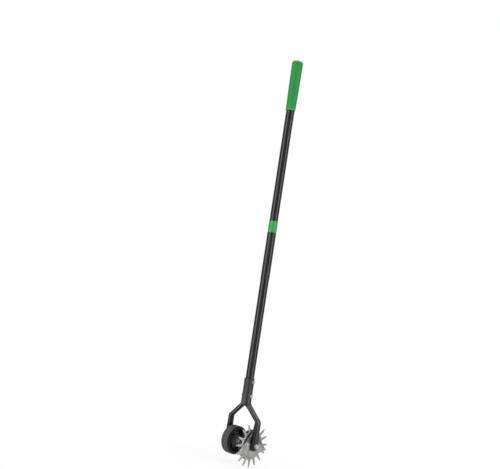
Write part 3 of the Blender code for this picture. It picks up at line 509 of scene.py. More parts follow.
# painted highlight: grey on the shoulders and bare metal on the cut edges; painted light: the grey inside
# the channels
grey = two_tones(tree, waves, (0.11, 0.115, 0.115), (0.16, 0.165, 0.165))
edge_highlight_metal = two_tones(tree, waves, (0.46, 0.46, 0.46), (0.55, 0.55, 0.55))
painted_light_inside = two_tones(tree, waves, (0.09, 0.09, 0.088), (0.13, 0.13, 0.127))
highlighted_black = mixed(tree, painted_highlight, mixed(tree, on_socket, black, satin), grey)
colour = mixed(tree, edge_highlight, mixed(tree, inside, highlighted_black, painted_light_inside), edge_highlight_metal)
dullness = reckon(tree, "ADD", spread(tree, cloud, 0.22, 0.32), times(tree, on_socket, SOCKET_DULL))
arm_gloss = ease(tree, shaded_hollow, 0.0, 1.0, FORK_GLOSS, HOLLOW_GLOSS)
feed(shader, "Base Color", colour)
feed(shader, "Metallic", ease(tree, edge_highlight, 0.0, 1.0, 0.0, EDGE_HIGHLIGHT_METAL))
feed(shader, "Roughness", dullness)
feed(shader, "Specular IOR Level", reckon(tree, "ADD", arm_gloss, times(tree, on_socket, SOCKET_GLOSS)))
relief(shader, waves, height=0.00012, strength=0.5)
dress(fork_finish, "fork_half_left", "fork_half_right")

# %% [markdown]
# Bolts, nuts, washers and rivets are zinc plated. The plating is a bright metal with fine cloudy
# patches, which vary its colour and its roughness together.

# %% Zinc of the fasteners
zinc_finish, tree, shader = new_finish("bright_zinc", (0.80, 0.80, 0.79), roughness=0.34, metallic=1.0)
cloud = noise_pattern(tree, size=0.0025, detail=5)
feed(shader, "Base Color", two_tones(tree, cloud, (0.74, 0.74, 0.73), (0.90, 0.90, 0.89)))
feed(shader, "Roughness", spread(tree, cloud, 0.28, 0.42))
relief(shader, cloud, height=0.00004, strength=0.4)
dress(zinc_finish, "socket_bolt_lower", "socket_bolt_upper", "socket_nut_lower", "socket_nut_upper",
      "axle_bolt", "axle_nut", "axle_washer_left", "axle_washer_right", "plate_spacer",
      *[f"star_rivet_{number}" for number in range(1, 5)])

# %% [markdown]
# The star and the shear plate are bare rolled steel that was ground flat. Fine marks lie across the
# sheet, and the grey is a little cloudy. Painted shade darkens the star's middle inside its tines, and
# the part of the plate that leans away above its bend.

# %% Bare steel of the blades
# Painted shade: it fades out on the star between these radii, and sets in across the plate's bend.
TINES_START, SHADE_END = 0.0455, 0.0435  # from the axle's line
BEND_START, BEND_END = 0.004, 0.010  # across the plate's slanted bend line
BEND_ACROSS = (0, 0.087, 0.996)
BEND_SHADE = 0.70
SHADE_RANGE = 0.05


def blade_steel(name, marks_along, shade_share, shade_tone):
    """Ground sheet steel with marks drawn out along one direction, and painted shade where it has a share.
    """
    finish, tree, shader = new_finish(name, (0.50, 0.50, 0.49), roughness=0.40, metallic=1.0)
    marks = noise_pattern(tree, size=0.0005, stretch=marks_along)
    cloud = noise_pattern(tree, size=0.016, detail=5)
    bright = two_tones(tree, cloud, (0.38, 0.38, 0.37), (0.53, 0.53, 0.52))
    # the tone of the painted shade
    dark = two_tones(tree, cloud, (shade_tone,) * 3, (shade_tone + SHADE_RANGE,) * 3)
    feed(shader, "Base Color", mixed(tree, shade_share(tree), bright, dark))
    feed(shader, "Roughness", spread(tree, marks, 0.34, 0.50))
    relief(shader, marks, height=0.00003, strength=0.6)
    return finish


def painted_shade_inside(tree):
    """Painted shade on the star's middle, inside its tines."""
    return ease(tree, off_axle(tree), SHADE_END, TINES_START, 1.0, 0.0)


def painted_shade_above(tree):
    """Painted shade on the plate above the bend, where it leans away. Its lower part stays bright."""
    return ease(tree, along(tree, from_axle(tree), BEND_ACROSS), BEND_START, BEND_END, 0.0, BEND_SHADE)


star_finish = blade_steel("ground_star_steel", (1, 30, 1), painted_shade_inside, shade_tone=0.13)
plate_finish = blade_steel("ground_plate_steel", (1, 1, 30), painted_shade_above, shade_tone=0.06)
dress(star_finish, "star_wheel")
dress(plate_finish, "shear_plate")

# %% [markdown]
# The tyre is dull rubber. Its tread, from a distance from the axle on, is painted lighter as painted
# light, and its sides darker as painted shade. The hub is a black moulding whose middle is painted
# lighter as painted light. The bushes and the spacer are grey nylon, which is nearly even.

# %% Rubber of the tyre
TREAD_LIGHT_START, TREAD_LIGHT_FULL = 0.0470, 0.0485  # from the axle's line
SIDE_GLOSS, TREAD_GLOSS = 0.15, 0.5

tyre_finish, tree, shader = new_finish("black_tyre_rubber", (0.03, 0.031, 0.031), roughness=0.72, gloss=0.4)
bloom = noise_pattern(tree, size=0.006, detail=6)
# painted shade darkens the sides, and painted light brightens the tread
painted_shade_side = two_tones(tree, bloom, (0.010, 0.010, 0.010), (0.016, 0.016, 0.016))
painted_light_tone = two_tones(tree, bloom, (0.045, 0.046, 0.046), (0.095, 0.096, 0.096))
tread_share = ease(tree, off_axle(tree), TREAD_LIGHT_START, TREAD_LIGHT_FULL, 0.0, 1.0)
feed(shader, "Base Color", mixed(tree, tread_share, painted_shade_side, painted_light_tone))
feed(shader, "Specular IOR Level", ease(tree, tread_share, 0.0, 1.0, SIDE_GLOSS, TREAD_GLOSS))
relief(shader, noise_pattern(tree, size=0.0012), height=0.0002, strength=0.6)
dress(tyre_finish, "tyre")

# %% Plastic of the hub
HUB_LIGHT_FULL, HUB_LIGHT_END = 0.0365, 0.0385  # from the axle's line

hub_finish, tree, shader = new_finish("black_hub_plastic", (0.014, 0.017, 0.016), roughness=0.45)
grain = noise_pattern(tree, size=0.0009, detail=2)
deep = two_tones(tree, grain, (0.016, 0.020, 0.018), (0.026, 0.031, 0.029))
painted_light_tone = two_tones(tree, grain, (0.090, 0.102, 0.097), (0.125, 0.140, 0.133))
# painted light brightens the boss, the ribs and the web, inside the rim
rim_share = ease(tree, off_axle(tree), HUB_LIGHT_FULL, HUB_LIGHT_END, 0.0, 1.0)
feed(shader, "Base Color", mixed(tree, rim_share, painted_light_tone, deep))
relief(shader, grain, height=0.00005, strength=0.5)
dress(hub_finish, "wheel_hub")

# %% Nylon of the bushes
nylon_finish, tree, shader = new_finish("grey_nylon", (0.16, 0.17, 0.17), roughness=0.5)
cloud = noise_pattern(tree, size=0.005, detail=3)
feed(shader, "Base Color", two_tones(tree, cloud, (0.13, 0.14, 0.14), (0.19, 0.20, 0.20)))
dress(nylon_finish, "wheel_spacer", "bush_left", "bush_right")

# %% [markdown]
# ## Shapes
#
# The solids have the right sizes and few facets. What the picture shows up close is modelled again on
# the same places. A round piece is a profile that is drawn corner by corner and spun, and what repeats
# is made once and copied round the axle.

# %% Helpers that work on one piece
def only(piece):
    """Selects one piece and nothing else, so that the next operator acts on it alone."""
    bpy.ops.object.select_all(action="DESELECT")
    bpy.context.view_layer.objects.active = piece
    piece.select_set(True)


def apply_all(piece):
    """Applies a piece's modifiers and brings its origin back to the middle of the frame."""
    only(piece)
    for step in list(piece.modifiers):
        bpy.ops.object.modifier_apply(modifier=step.name)
    bpy.ops.object.transform_apply(location=True, rotation=True, scale=True)


def smooth(piece, angle):
    """Shades a piece smooth, apart from the edges that are sharper than an angle."""
    only(piece)
    bpy.ops.object.shade_smooth_by_angle(angle=math.radians(angle))


def enter_edit(kind="VERT", action="SELECT"):
    """Enters edit mode on corners or faces, with all or none of them selected."""
    bpy.ops.object.mode_set(mode="EDIT")
    bpy.ops.mesh.select_mode(type=kind)
    bpy.ops.mesh.select_all(action=action)


def leave_edit():
    """Turns all faces outward and leaves edit mode."""
    bpy.ops.mesh.select_all(action="SELECT")
    bpy.ops.mesh.normals_make_consistent(inside=False)
    bpy.ops.object.mode_set(mode="OBJECT")


# %% Helpers that shape a piece
MOSTLY = 0.9  # how much of a face's normal points the way that the face is said to look


def ease_edges(piece, width, segments=3, angle=35):
    """Rounds the edges that are sharper than an angle, as a tumbled or moulded edge is."""
    bevel = piece.modifiers.new("eased_edges", "BEVEL")
    bevel.width = width
    bevel.segments = segments
    bevel.limit_method = "ANGLE"
    bevel.angle_limit = math.radians(angle)
    apply_all(piece)
    smooth(piece, angle)


def shared_shape(piece, tool, operation="INTERSECT"):
    """Keeps the space that two pieces share, or cuts the tool out of the piece, and deletes the tool."""
    cut = piece.modifiers.new(operation.lower(), "BOOLEAN")
    cut.object = tool
    cut.operation = operation
    cut.solver = "EXACT"
    apply_all(piece)
    bpy.data.objects.remove(tool)


def pick_faces(piece, wanted):
    """Enters edit mode with those faces selected whose centre and normal are wanted."""
    only(piece)
    enter_edit("FACE", "DESELECT")
    bpy.ops.object.mode_set(mode="OBJECT")
    for face in piece.data.polygons:
        face.select = wanted(face.center, face.normal)
    picked = sum(face.select for face in piece.data.polygons)
    bpy.ops.object.mode_set(mode="EDIT")
    print(piece.name, "has", picked, "faces picked")


# %% Helpers that join and settle pieces
def join(name, pieces):
    """Joins several pieces into the first one."""
    only(pieces[0])
    for piece in pieces:
        piece.select_set(True)
    bpy.ops.object.join()
    joined = bpy.context.object
    joined.name = name
    return joined


def settle(piece, body, finish, slot, *stands_for):
    """Gives a piece its finish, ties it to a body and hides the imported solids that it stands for."""
    piece.data.materials.clear()
    piece.data.materials.append(finish)
    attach(piece, body)
    if stands_for:
        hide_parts(*stands_for)
    print(piece.name, "of", len(piece.data.polygons), "faces rides on", body)


# %% [markdown]
# A turned piece starts as a small plane that is merged to one corner. The corner is moved to the start
# of the profile and extruded along it, and the line that this draws is spun round the axis.

# %% Helper for drawn lines
SAME_SPOT = 1e-6  # corners closer than this are one corner


def drawn_line(name, spots):
    """Draws a line through the spots, corner by corner, and stays in edit mode with all of it selected."""
    piece = start_piece(name, bpy.ops.mesh.primitive_plane_add, size=0.01)
    enter_edit()
    bpy.ops.mesh.merge(type="CENTER")
    bpy.ops.transform.translate(value=spots[0])
    for here, following in zip(spots, spots[1:]):
        bpy.ops.mesh.extrude_region_move(TRANSFORM_OT_translate={"value": following - here})
    bpy.ops.mesh.select_all(action="SELECT")
    bpy.ops.mesh.remove_doubles(threshold=SAME_SPOT)
    bpy.ops.mesh.select_all(action="SELECT")
    return piece


# %% Helpers for round pieces
ALONG_AXLE = Vector((1, 0, 0))
ALONG_HANDLE = Vector((0, 0, 1))


def turned_piece(name, profile, sides=96, centre=axle, axis=ALONG_AXLE):
    """Spins a profile of (along the axis, out from it) points. It closes, or has both ends on the axis."""
    out = ALONG_HANDLE if axis == ALONG_AXLE else ALONG_AXLE
    spots = [Vector(centre) + axis * along_axis + out * reach for along_axis, reach in profile]
    if profile[0][1] > 0:
        spots.append(spots[0])
    piece = drawn_line(name, spots)
    bpy.ops.mesh.spin(steps=sides, angle=math.tau, center=centre, axis=axis)
    bpy.ops.mesh.select_all(action="SELECT")
    bpy.ops.mesh.remove_doubles(threshold=SAME_SPOT)
    leave_edit()
    return piece


def rod_profile(low, high, radius):
    """A plain round rod, from its axis out and back to it."""
    return [(low, 0), (low, radius), (high, radius), (high, 0)]


def arc(middle, radius, start, end, steps):
    """Points of an arc in a profile, from one angle to another in degrees, both ends included."""
    angles = [math.radians(start + (end - start) * i / steps) for i in range(steps + 1)]
    return [(middle[0] + radius * math.cos(a), middle[1] + radius * math.sin(a)) for a in angles]


def copies_round_axle(name, piece, count):
    """Turns copies of a piece round the axle, each with its own mesh, and joins them all."""
    ring = [piece]
    for i in range(1, count):
        only(piece)
        bpy.ops.object.duplicate()
        bpy.ops.transform.rotate(value=math.tau * i / count, orient_axis="X", center_override=axle)
        bpy.ops.object.transform_apply(location=True, rotation=True, scale=True)
        ring.append(bpy.context.object)
    return join(name, ring)


# %% [markdown]
# The tyre is a solid rubber ring with round shoulders. Its tread has shallow grooves across it: after
# the spin, the faces of every other stretch of the tread are picked by their place and pushed in.

# %% Tyre
TREAD_RIBS, SIDES_PER_RIB = 26, 8
TREAD_DEPTH, TREAD_EASE = 0.0009, 0.00025
SHOULDER = 0.0035
SHOULDER_KNEE = 0.00252  # from the round shoulder to the flat with the grooves
SIDE_LINE_OUT = 0.0021  # above the rim
SIDE_LINE = 0.0004
RIM_RADIUS = 0.0433

tyre_radius = (tyre_high.z - tyre_low.z) / 2


def tyre_profile():
    """Bore, side with a moulded line, round shoulder and half the flat tread, and then their mirror."""
    left, right = tyre_low.x, tyre_high.x
    line_top = RIM_RADIUS + SIDE_LINE_OUT
    half = [(right, RIM_RADIUS), (right, line_top - SIDE_LINE), (right - SIDE_LINE, line_top),
            (right, line_top + SIDE_LINE)]
    half += arc((right - SHOULDER, tyre_radius - SHOULDER), SHOULDER, 0, 90, 6)[1:]
    half.append((right - SHOULDER - SHOULDER_KNEE, tyre_radius))
    return half + [(left + right - place, reach) for place, reach in reversed(half)]


tyre = turned_piece("rubber_tyre", tyre_profile(), sides=TREAD_RIBS * SIDES_PER_RIB)
print("tyre turned with a radius of", round(tyre_radius, 4))


# %% Grooves of the tread
def in_a_groove(centre, normal):
    """Whether a face lies on the flat of the tread, in the half of a rib's turn that is a groove."""
    out = centre - axle
    turn = math.atan2(out.y, out.z) / math.tau * TREAD_RIBS
    on_flat = math.hypot(out.y, out.z) > tyre_radius - TREAD_DEPTH / 2 and abs(normal.x) < 1 - MOSTLY
    return on_flat and turn % 1 > 0.5


pick_faces(tyre, in_a_groove)
bpy.ops.mesh.extrude_region_shrink_fatten(TRANSFORM_OT_shrink_fatten={"value": -TREAD_DEPTH})
bpy.ops.object.mode_set(mode="OBJECT")
ease_edges(tyre, TREAD_EASE, segments=2, angle=30)
settle(tyre, "rotor", tyre_finish, "tyre_rubber", "tyre")

# %% [markdown]
# The wheel's hub is one moulding. A rim with two lips holds the tyre, a web near its far side carries a
# long boss, and six ribs stand in the hollow between them. One rib is a cube whose upper face is turned
# to slope down towards the rim, and the other five are its copies.

# %% Hub
RIM_WALL = 0.0026
LIP_WIDTH = 0.0014
WEB_INSET = 0.0045
WEB = 0.003
BOSS_RADIUS = 0.0165
BOSS_LENGTH = 0.025
BOSS_TAPER, RIM_TAPER = 0.001, 0.0004  # what a moulding needs to leave its mould
SLEEVE_BORE = 0.0123
TYRE_FIT = 0.0003
MOULDED_EASE = 0.0006

hub_low, hub_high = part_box("wheel_hub")
lip_radius = (hub_high.z - hub_low.z) / 2
web_right = hub_low.x + WEB_INSET + WEB
boss_right = hub_low.x + WEB_INSET + BOSS_LENGTH


def hub_profile():
    """Bore, boss, web and rim, from the bore's left end round to the boss's left end."""
    left, right, seat = hub_low.x, hub_high.x, RIM_RADIUS - TYRE_FIT
    inside = seat - RIM_WALL
    return [(left, SLEEVE_BORE), (boss_right, SLEEVE_BORE), (boss_right, BOSS_RADIUS),
            (web_right, BOSS_RADIUS + BOSS_TAPER), (web_right, inside), (right, inside + RIM_TAPER),
            (right, lip_radius), (right - LIP_WIDTH, lip_radius), (right - LIP_WIDTH, seat),
            (left + LIP_WIDTH, seat), (left + LIP_WIDTH, lip_radius), (left, lip_radius), (left, inside),
            (left + WEB_INSET, inside), (left + WEB_INSET, BOSS_RADIUS), (left, BOSS_RADIUS)]


hub = turned_piece("hub_moulding", hub_profile())
ease_edges(hub, MOULDED_EASE)
print("hub turned with a boss", BOSS_LENGTH, "m long")

# %% Ribs of the hub
RIBS = 6
RIB = 0.0024
RIB_HEIGHT = 0.009
RIB_SLOPE = 0.004
RIB_SINK = 0.0005  # into the web and the rim, twice that into the boss

rib_foot = BOSS_RADIUS - 2 * RIB_SINK
rib_top = RIM_RADIUS - RIM_WALL + RIB_SINK
rib_middle = AXLE_HEIGHT + (rib_foot + rib_top) / 2
rib = start_piece("hub_rib", bpy.ops.mesh.primitive_cube_add, size=1,
                  location=(web_right + RIB_HEIGHT / 2 - RIB_SINK, 0, rib_middle),
                  scale=(RIB_HEIGHT + 2 * RIB_SINK, RIB, rib_top - rib_foot))
apply_all(rib)
pick_faces(rib, lambda centre, normal: normal.x > MOSTLY)
bpy.ops.transform.translate(value=(-RIB_SLOPE / 2, 0, 0))
bpy.ops.transform.rotate(value=math.atan(RIB_SLOPE / (rib_top - rib_foot)), orient_axis="Y",
                         center_override=(web_right + RIB_HEIGHT - RIB_SLOPE / 2, 0, rib_middle))
bpy.ops.object.mode_set(mode="OBJECT")
ease_edges(rib, MOULDED_EASE)
ribs = copies_round_axle("hub_ribs", rib, RIBS)
hub = join("wheel_moulding", [hub, ribs])
settle(hub, "rotor", hub_finish, "hub_plastic", "wheel_hub")

# %% [markdown]
# The star is stamped from one sheet, so its outline is drawn as one line: round every tine's tip, down
# its side, along the disc to the next tine. The line is filled, the face is extruded by the sheet's
# thickness, and the sleeve's hole is cut out.

# %% Outline of the star
TINES = 16
TINE_ROOT_RADIUS = 0.0505
TINE_ROOT_WIDTH = 0.0100
TINE_TIP_WIDTH = 0.0047
TIP_TURN = 84  # degrees of the tip's arc on each side of the tine's middle line

star_tip = (star_high.z - star_low.z) / 2


def star_outline():
    """Points of the star's edge as (to the side, up) from the axle, once round."""
    tip_radius = TINE_TIP_WIDTH / 2
    root_out = math.sqrt(TINE_ROOT_RADIUS ** 2 - (TINE_ROOT_WIDTH / 2) ** 2)
    tine = [(-TINE_ROOT_WIDTH / 2, root_out)]
    tine += arc((0, star_tip - tip_radius), tip_radius, 90 + TIP_TURN, 90 - TIP_TURN, 12)
    tine += [(TINE_ROOT_WIDTH / 2, root_out)]
    root_turn = math.degrees(math.asin(TINE_ROOT_WIDTH / 2 / TINE_ROOT_RADIUS))
    tine += arc((0, 0), TINE_ROOT_RADIUS, 90 - root_turn, 90 - 360 / TINES + root_turn, 4)[1:-1]
    turns = [Matrix.Rotation(-math.tau * i / TINES, 2) for i in range(TINES)]
    return [turn @ Vector(point) for turn in turns for point in tine]


corners = [Vector((star_low.x, side, AXLE_HEIGHT + up)) for side, up in star_outline()]
print("the star's edge has", len(corners), "corners")

# %% Star
EDGE_EASE = 0.0003

star = drawn_line("cutting_star", corners + corners[:1])
bpy.ops.mesh.edge_face_add()
bpy.ops.mesh.extrude_region_move(TRANSFORM_OT_translate={"value": (star_high.x - star_low.x, 0, 0)})
leave_edit()
sleeve_hole = rod_profile(star_low.x - SLEEVE_BORE, star_high.x + SLEEVE_BORE, SLEEVE_BORE)
shared_shape(star, turned_piece("sleeve_hole", sleeve_hole, sides=64), "DIFFERENCE")
ease_edges(star, EDGE_EASE, segments=2)
settle(star, "rotor", star_finish, "blade_steel", "star_wheel")

# %% [markdown]
# The flange behind the star is a pressed disc whose rim turns back towards the wheel. Its corner is an
# arc in the profile, and a weld joins it to the sleeve. The weld is a ring of small overlapping drops,
# because the bead sets in ripples. Each drop is a ball that is squeezed and turned a little.

# %% Flange
FLANGE_SHEET = 0.0025
FLANGE_CORNER = 0.0035
FLANGE_EASE = 0.0004

flange_low, flange_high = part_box("drive_flange")
flange_radius = (flange_high.z - flange_low.z) / 2
outer_bend = (flange_high.x - FLANGE_CORNER, flange_radius - FLANGE_CORNER)
flange_profile = [(flange_high.x - FLANGE_SHEET, SLEEVE_BORE), (flange_high.x, SLEEVE_BORE)]
flange_profile += arc(outer_bend, FLANGE_CORNER, 0, 90, 6)
flange_profile += [(flange_low.x, flange_radius), (flange_low.x, flange_radius - FLANGE_SHEET)]
flange_profile += arc(outer_bend, FLANGE_CORNER - FLANGE_SHEET, 90, 0, 4)
flange = turned_piece("pressed_flange", flange_profile, sides=128)
ease_edges(flange, FLANGE_EASE, segments=2, angle=50)
settle(flange, "rotor", paint_finish, "black_paint", "drive_flange")

# %% Weld between the sleeve and the flange
WELD_DROP = 0.0017
WELD_DROPS = 26
DROP_SHAPE = (0.8, 1.25, 0.8)
DROP_TURN = math.radians(24)
DROP_RAISE = 0.3  # of a drop's radius
SLEEVE_RADIUS = 0.0120

drop_height = AXLE_HEIGHT + SLEEVE_RADIUS + WELD_DROP * DROP_RAISE
drop = start_piece("weld_drop", bpy.ops.mesh.primitive_uv_sphere_add, segments=16, ring_count=10,
                   radius=WELD_DROP, location=(flange_high.x - FLANGE_SHEET, 0, drop_height))
bpy.ops.transform.resize(value=DROP_SHAPE)
bpy.ops.transform.rotate(value=DROP_TURN, orient_axis="X", center_override=drop.location)
apply_all(drop)
bpy.ops.object.shade_smooth()
weld = copies_round_axle("sleeve_weld", drop, WELD_DROPS)
settle(weld, "rotor", paint_finish, "black_paint")

# %% [markdown]
# The fork halves and the shear plate keep the shape of their solids. Each is a copy whose loose
# triangles are merged into whole faces again, and whose cut edges are rounded as pressing rounds them.

# %% Copies with rounded edges
PLATE_EASE, FORK_EASE = 0.00035, 0.0006
CUT_EDGE_ANGLE, FLAT_ANGLE = 40, 1  # sharper than this is an edge, and flatter than this is one face
LOOSE_CORNERS = 1e-5  # corners of loose triangles closer than this are one corner


def eased_copy(name, node, width, segments):
    """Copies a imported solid, merges its triangles and its flat neighbours, and eases its edges."""
    piece = bpy.data.objects.new(name, nodes[node].data.copy())
    bpy.context.scene.collection.objects.link(piece)
    only(piece)
    enter_edit()
    bpy.ops.mesh.remove_doubles(threshold=LOOSE_CORNERS)
    bpy.ops.mesh.dissolve_limited(angle_limit=math.radians(FLAT_ANGLE))
    leave_edit()
    ease_edges(piece, width, segments, CUT_EDGE_ANGLE)
    return piece


plate = eased_copy("pressed_shear_plate", "shear_plate", PLATE_EASE, segments=2)
settle(plate, "frame", plate_finish, "blade_steel", "shear_plate")
for side in ("left", "right"):
    half = eased_copy("pressed_fork_" + side, "fork_half_" + side, FORK_EASE, segments=3)
    settle(half, "frame", fork_finish, "black_paint", "fork_half_" + side)

# %% [markdown]
# The corners of a bolt's head and of a nut are turned off, which leaves a curved line on each flat. A
# hexagon is cut to the shape that it shares with a disc whose rims slope. A nut is also bored. Each
# bolt ends in a thread: the closed outline of one tooth is screwed along the shank, a little sunk in it,
# and the two ends are filled.

# %% Helper for hexagons
FACE_SHARE, CORNER_SHARE, SLOPE_SHARE = 0.485, 0.6, 0.07  # of the width across the flats
LEAD_SHARE = 0.09  # of the nut's height
HEXAGON_EASE, HEXAGON_ANGLE = 0.00015, 30
TURNED_SIDES = 48


def hexagon(name, low_x, high_x, flats, height, bore=0.0):
    """A hexagon block along X with turned corners, and with a countersunk bore if it is a nut."""
    middle = Vector((0, 0, height))
    block = start_piece(name, bpy.ops.mesh.primitive_cylinder_add, vertices=6, radius=flats / math.sqrt(3),
                        depth=high_x - low_x, location=((low_x + high_x) / 2, 0, height),
                        rotation=(0, math.pi / 2, 0))
    apply_all(block)
    face, corner, slope = (flats * share for share in (FACE_SHARE, CORNER_SHARE, SLOPE_SHARE))
    sloped = [(low_x, 0), (low_x, face), (low_x + slope, corner), (high_x - slope, corner), (high_x, face),
              (high_x, 0)]
    shared_shape(block, turned_piece("turned_corners", sloped, TURNED_SIDES, middle))
    if bore:
        lead = (high_x - low_x) * LEAD_SHARE
        hole = [(low_x - lead, 0), (low_x - lead, bore + 2 * lead), (low_x + lead, bore),
                (high_x - lead, bore), (high_x + lead, bore + 2 * lead), (high_x + lead, 0)]
        shared_shape(block, turned_piece("bore", hole, TURNED_SIDES, middle), "DIFFERENCE")
    ease_edges(block, HEXAGON_EASE, segments=2, angle=HEXAGON_ANGLE)
    return block


# %% Helper for threads
THREAD_START, RUN_IN = 5.5, 0.5  # in pitches, from the bolt's end
THREAD_TURNS, THREAD_SIDES = 4, 32
DEPTH_SHARE, SINK_SHARE = 0.3, 0.2  # of the pitch
FLANK_SHARE, CHAMFER_SHARE = 0.45, 0.4
THREAD_ANGLE = 30


def threaded_shank(name, low_x, high_x, radius, pitch, height):
    """A round shank with a chamfered end, and a thread on its last stretch."""
    core = radius - pitch * DEPTH_SHARE
    sunk = core - pitch * SINK_SHARE
    flank, chamfer = pitch * FLANK_SHARE, pitch * CHAMFER_SHARE
    start = high_x - THREAD_START * pitch
    middle = Vector((0, 0, height))
    shank = [(low_x, 0), (low_x, radius), (start - RUN_IN * pitch, radius), (start, core),
             (high_x - chamfer, core), (high_x, core - chamfer), (high_x, 0)]
    bar = turned_piece(name, shank, TURNED_SIDES, middle)
    smooth(bar, THREAD_ANGLE)
    end = start + pitch
    outline = [(start, core), (start + flank, radius), (end - flank, radius), (end, core), (end, sunk),
               (start, sunk), (start, core)]
    tooth = drawn_line("tooth", [Vector((along_axis, 0, out)) for along_axis, out in outline])
    bpy.ops.object.mode_set(mode="OBJECT")
    screw = tooth.modifiers.new("thread", "SCREW")
    screw.axis = "X"
    screw.steps = THREAD_SIDES
    screw.iterations = THREAD_TURNS
    screw.screw_offset = pitch
    apply_all(tooth)
    enter_edit()
    bpy.ops.mesh.fill_holes(sides=6)
    leave_edit()
    bpy.ops.transform.translate(value=middle)
    apply_all(tooth)
    smooth(tooth, THREAD_ANGLE)
    return join(name, [bar, tooth])


# %% Bolts and nuts
AXLE_BOLT = {"head": 0.0053, "radius": 0.004, "pitch": 0.00125}
SOCKET_BOLT = {"head": 0.004, "radius": 0.003, "pitch": 0.0010}
NUT_FIT = 0.0001


def bolt_and_nut(name, bolt_node, nut_node, head, radius, pitch):
    """Models one bolt and its nut on the places of their solids."""
    bolt_low, bolt_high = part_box(bolt_node)
    nut_low, nut_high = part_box(nut_node)
    height = (nut_low.z + nut_high.z) / 2
    flats = nut_high.z - nut_low.z  # the corners point along Y, so Z gives the width across the flats
    cap = hexagon(name + "_cap", bolt_low.x, bolt_low.x + head, flats, height)
    shank = threaded_shank(name + "_shank", bolt_low.x + head / 2, bolt_high.x, radius, pitch, height)
    bolt = join(name + "_hex_bolt", [cap, shank])
    settle(bolt, "frame", zinc_finish, "zinc_steel", bolt_node)
    nut = hexagon(name + "_hex_nut", nut_low.x, nut_high.x, flats, height, radius + NUT_FIT)
    settle(nut, "frame", zinc_finish, "zinc_steel", nut_node)


bolt_and_nut("axle", "axle_bolt", "axle_nut", **AXLE_BOLT)
for place in ("lower", "upper"):
    bolt_and_nut("socket_" + place, "socket_bolt_" + place, "socket_nut_" + place, **SOCKET_BOLT)

# %% [markdown]
# Long reflections show every facet, so the tube of the handle and the two films of its label are turned
# again with many sides. The tube is drilled for the bolts of the socket. A ring of corners above the
# holes keeps what the drilling does to the faces inside the socket.

# %% Tube and films
HANDLE_SIDES = 128
FRAME_MIDDLE = (0, 0, 0)  # heights on the handle are measured from here
TUBE_WALL = 0.0031
TUBE_EDGE = 0.0005
TUBE_COVERED = 0.078  # the stretch inside the socket
BOLT_HOLE = 0.0033
DRILL_REACH = 1.5  # in the tube's radius
FILM = 0.0004
FILM_EDGE = 0.0001
RIM_ANGLE = 35

tube_low, tube_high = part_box("handle_tube")
tube_radius = (tube_high.x - tube_low.x) / 2


def ring_profile(low, high, bore, radius, edge, extra=0.0):
    """The wall of a tube with both outer rims turned off, and if wanted a ring of corners on its side."""
    side = [(low + edge, radius)] + ([(low + extra, radius)] if extra else []) + [(high - edge, radius)]
    return [(low, bore), (low, radius - edge)] + side + [(high, radius - edge), (high, bore)]


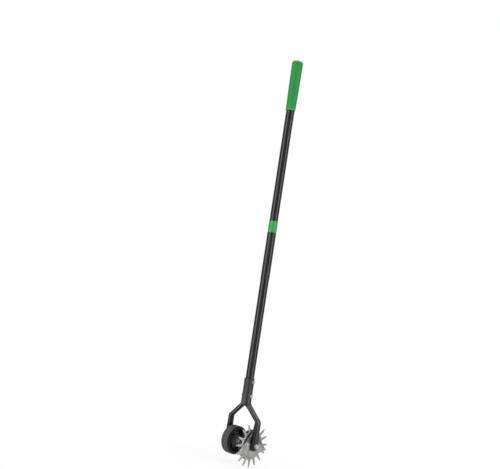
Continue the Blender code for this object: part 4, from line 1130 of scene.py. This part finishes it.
tube_bore = tube_radius - TUBE_WALL
tube_wall = ring_profile(tube_low.z, tube_high.z, tube_bore, tube_radius, TUBE_EDGE, TUBE_COVERED)
tube = turned_piece("drawn_tube", tube_wall, HANDLE_SIDES, FRAME_MIDDLE, ALONG_HANDLE)
for place in ("lower", "upper"):
    bolt_low, bolt_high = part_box("socket_bolt_" + place)
    drill = rod_profile(-tube_radius * DRILL_REACH, tube_radius * DRILL_REACH, BOLT_HOLE)
    middle = Vector((0, 0, (bolt_low.z + bolt_high.z) / 2))
    shared_shape(tube, turned_piece("drill", drill, sides=32, centre=middle), "DIFFERENCE")
smooth(tube, RIM_ANGLE)
settle(tube, "frame", handle_finish, "handle_fibreglass", "handle_tube")
for name, node, slot in (("black_film", "label_sleeve", "label_film"),
                         ("green_film", "label_band", "label_green")):
    film_low, film_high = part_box(node)
    film_radius = (film_high.x - film_low.x) / 2
    film_wall = ring_profile(film_low.z, film_high.z, film_radius - FILM, film_radius, FILM_EDGE)
    film = turned_piece(name, film_wall, HANDLE_SIDES, FRAME_MIDDLE, ALONG_HANDLE)
    smooth(film, RIM_ANGLE)
    settle(film, "frame", film_finishes[node], slot, node)

# %% [markdown]
# The grip is moulded over the tube. It swells from a rolled rim at its foot to a round shoulder, and its
# end is a small flat disc. The swell follows a sine, as it does on the solid, in finer steps.

# %% Grip
GRIP_RIM = 0.0178
GRIP_NECK = 0.0175
GRIP_RIM_HEIGHT = 0.004
GRIP_SHOULDER = 0.0105
GRIP_END_WALL = 0.0035
GRIP_FIT = 0.0003
GRIP_SIDES, SWELL_STEPS = 96, 24

grip_low, grip_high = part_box("grip")
grip_radius = (grip_high.x - grip_low.x) / 2


def grip_profile():
    """Bore from its end down, rolled rim, swell and shoulder, up to the middle of the end."""
    low, high = grip_low.z, grip_high.z
    bore = tube_radius + GRIP_FIT
    roll = GRIP_RIM - bore
    roll_middle = (low + roll / 2, bore + roll / 2)
    points = [(high - GRIP_END_WALL, 0), (high - GRIP_END_WALL, bore)]
    points += arc(roll_middle, roll / 2, 270, 90, 6)
    swell_start, swell_end = low + GRIP_RIM_HEIGHT, high - GRIP_SHOULDER
    points += arc((swell_start, GRIP_RIM), GRIP_RIM - GRIP_NECK, 180, 270, 4)
    for i in range(1, SWELL_STEPS):
        share = i / SWELL_STEPS
        swell = math.sin(share * math.pi / 2)
        points.append((swell_start + (swell_end - swell_start) * share,
                       GRIP_NECK + (grip_radius - GRIP_NECK) * swell))
    points += arc((swell_end, grip_radius - GRIP_SHOULDER), GRIP_SHOULDER, 90, 0, 12)
    return points + [(high, 0)]


grip = turned_piece("moulded_grip", grip_profile(), GRIP_SIDES, FRAME_MIDDLE, ALONG_HANDLE)
smooth(grip, RIM_ANGLE)
settle(grip, "frame", grip_finish, "grip_green", "grip")

# %% [markdown]
# ## Close
#
# The colours are shown plainly, with the Standard view transform.

# %% Plain colours
bpy.context.scene.view_settings.view_transform = "Standard"
print("view transform", bpy.context.scene.view_settings.view_transform)
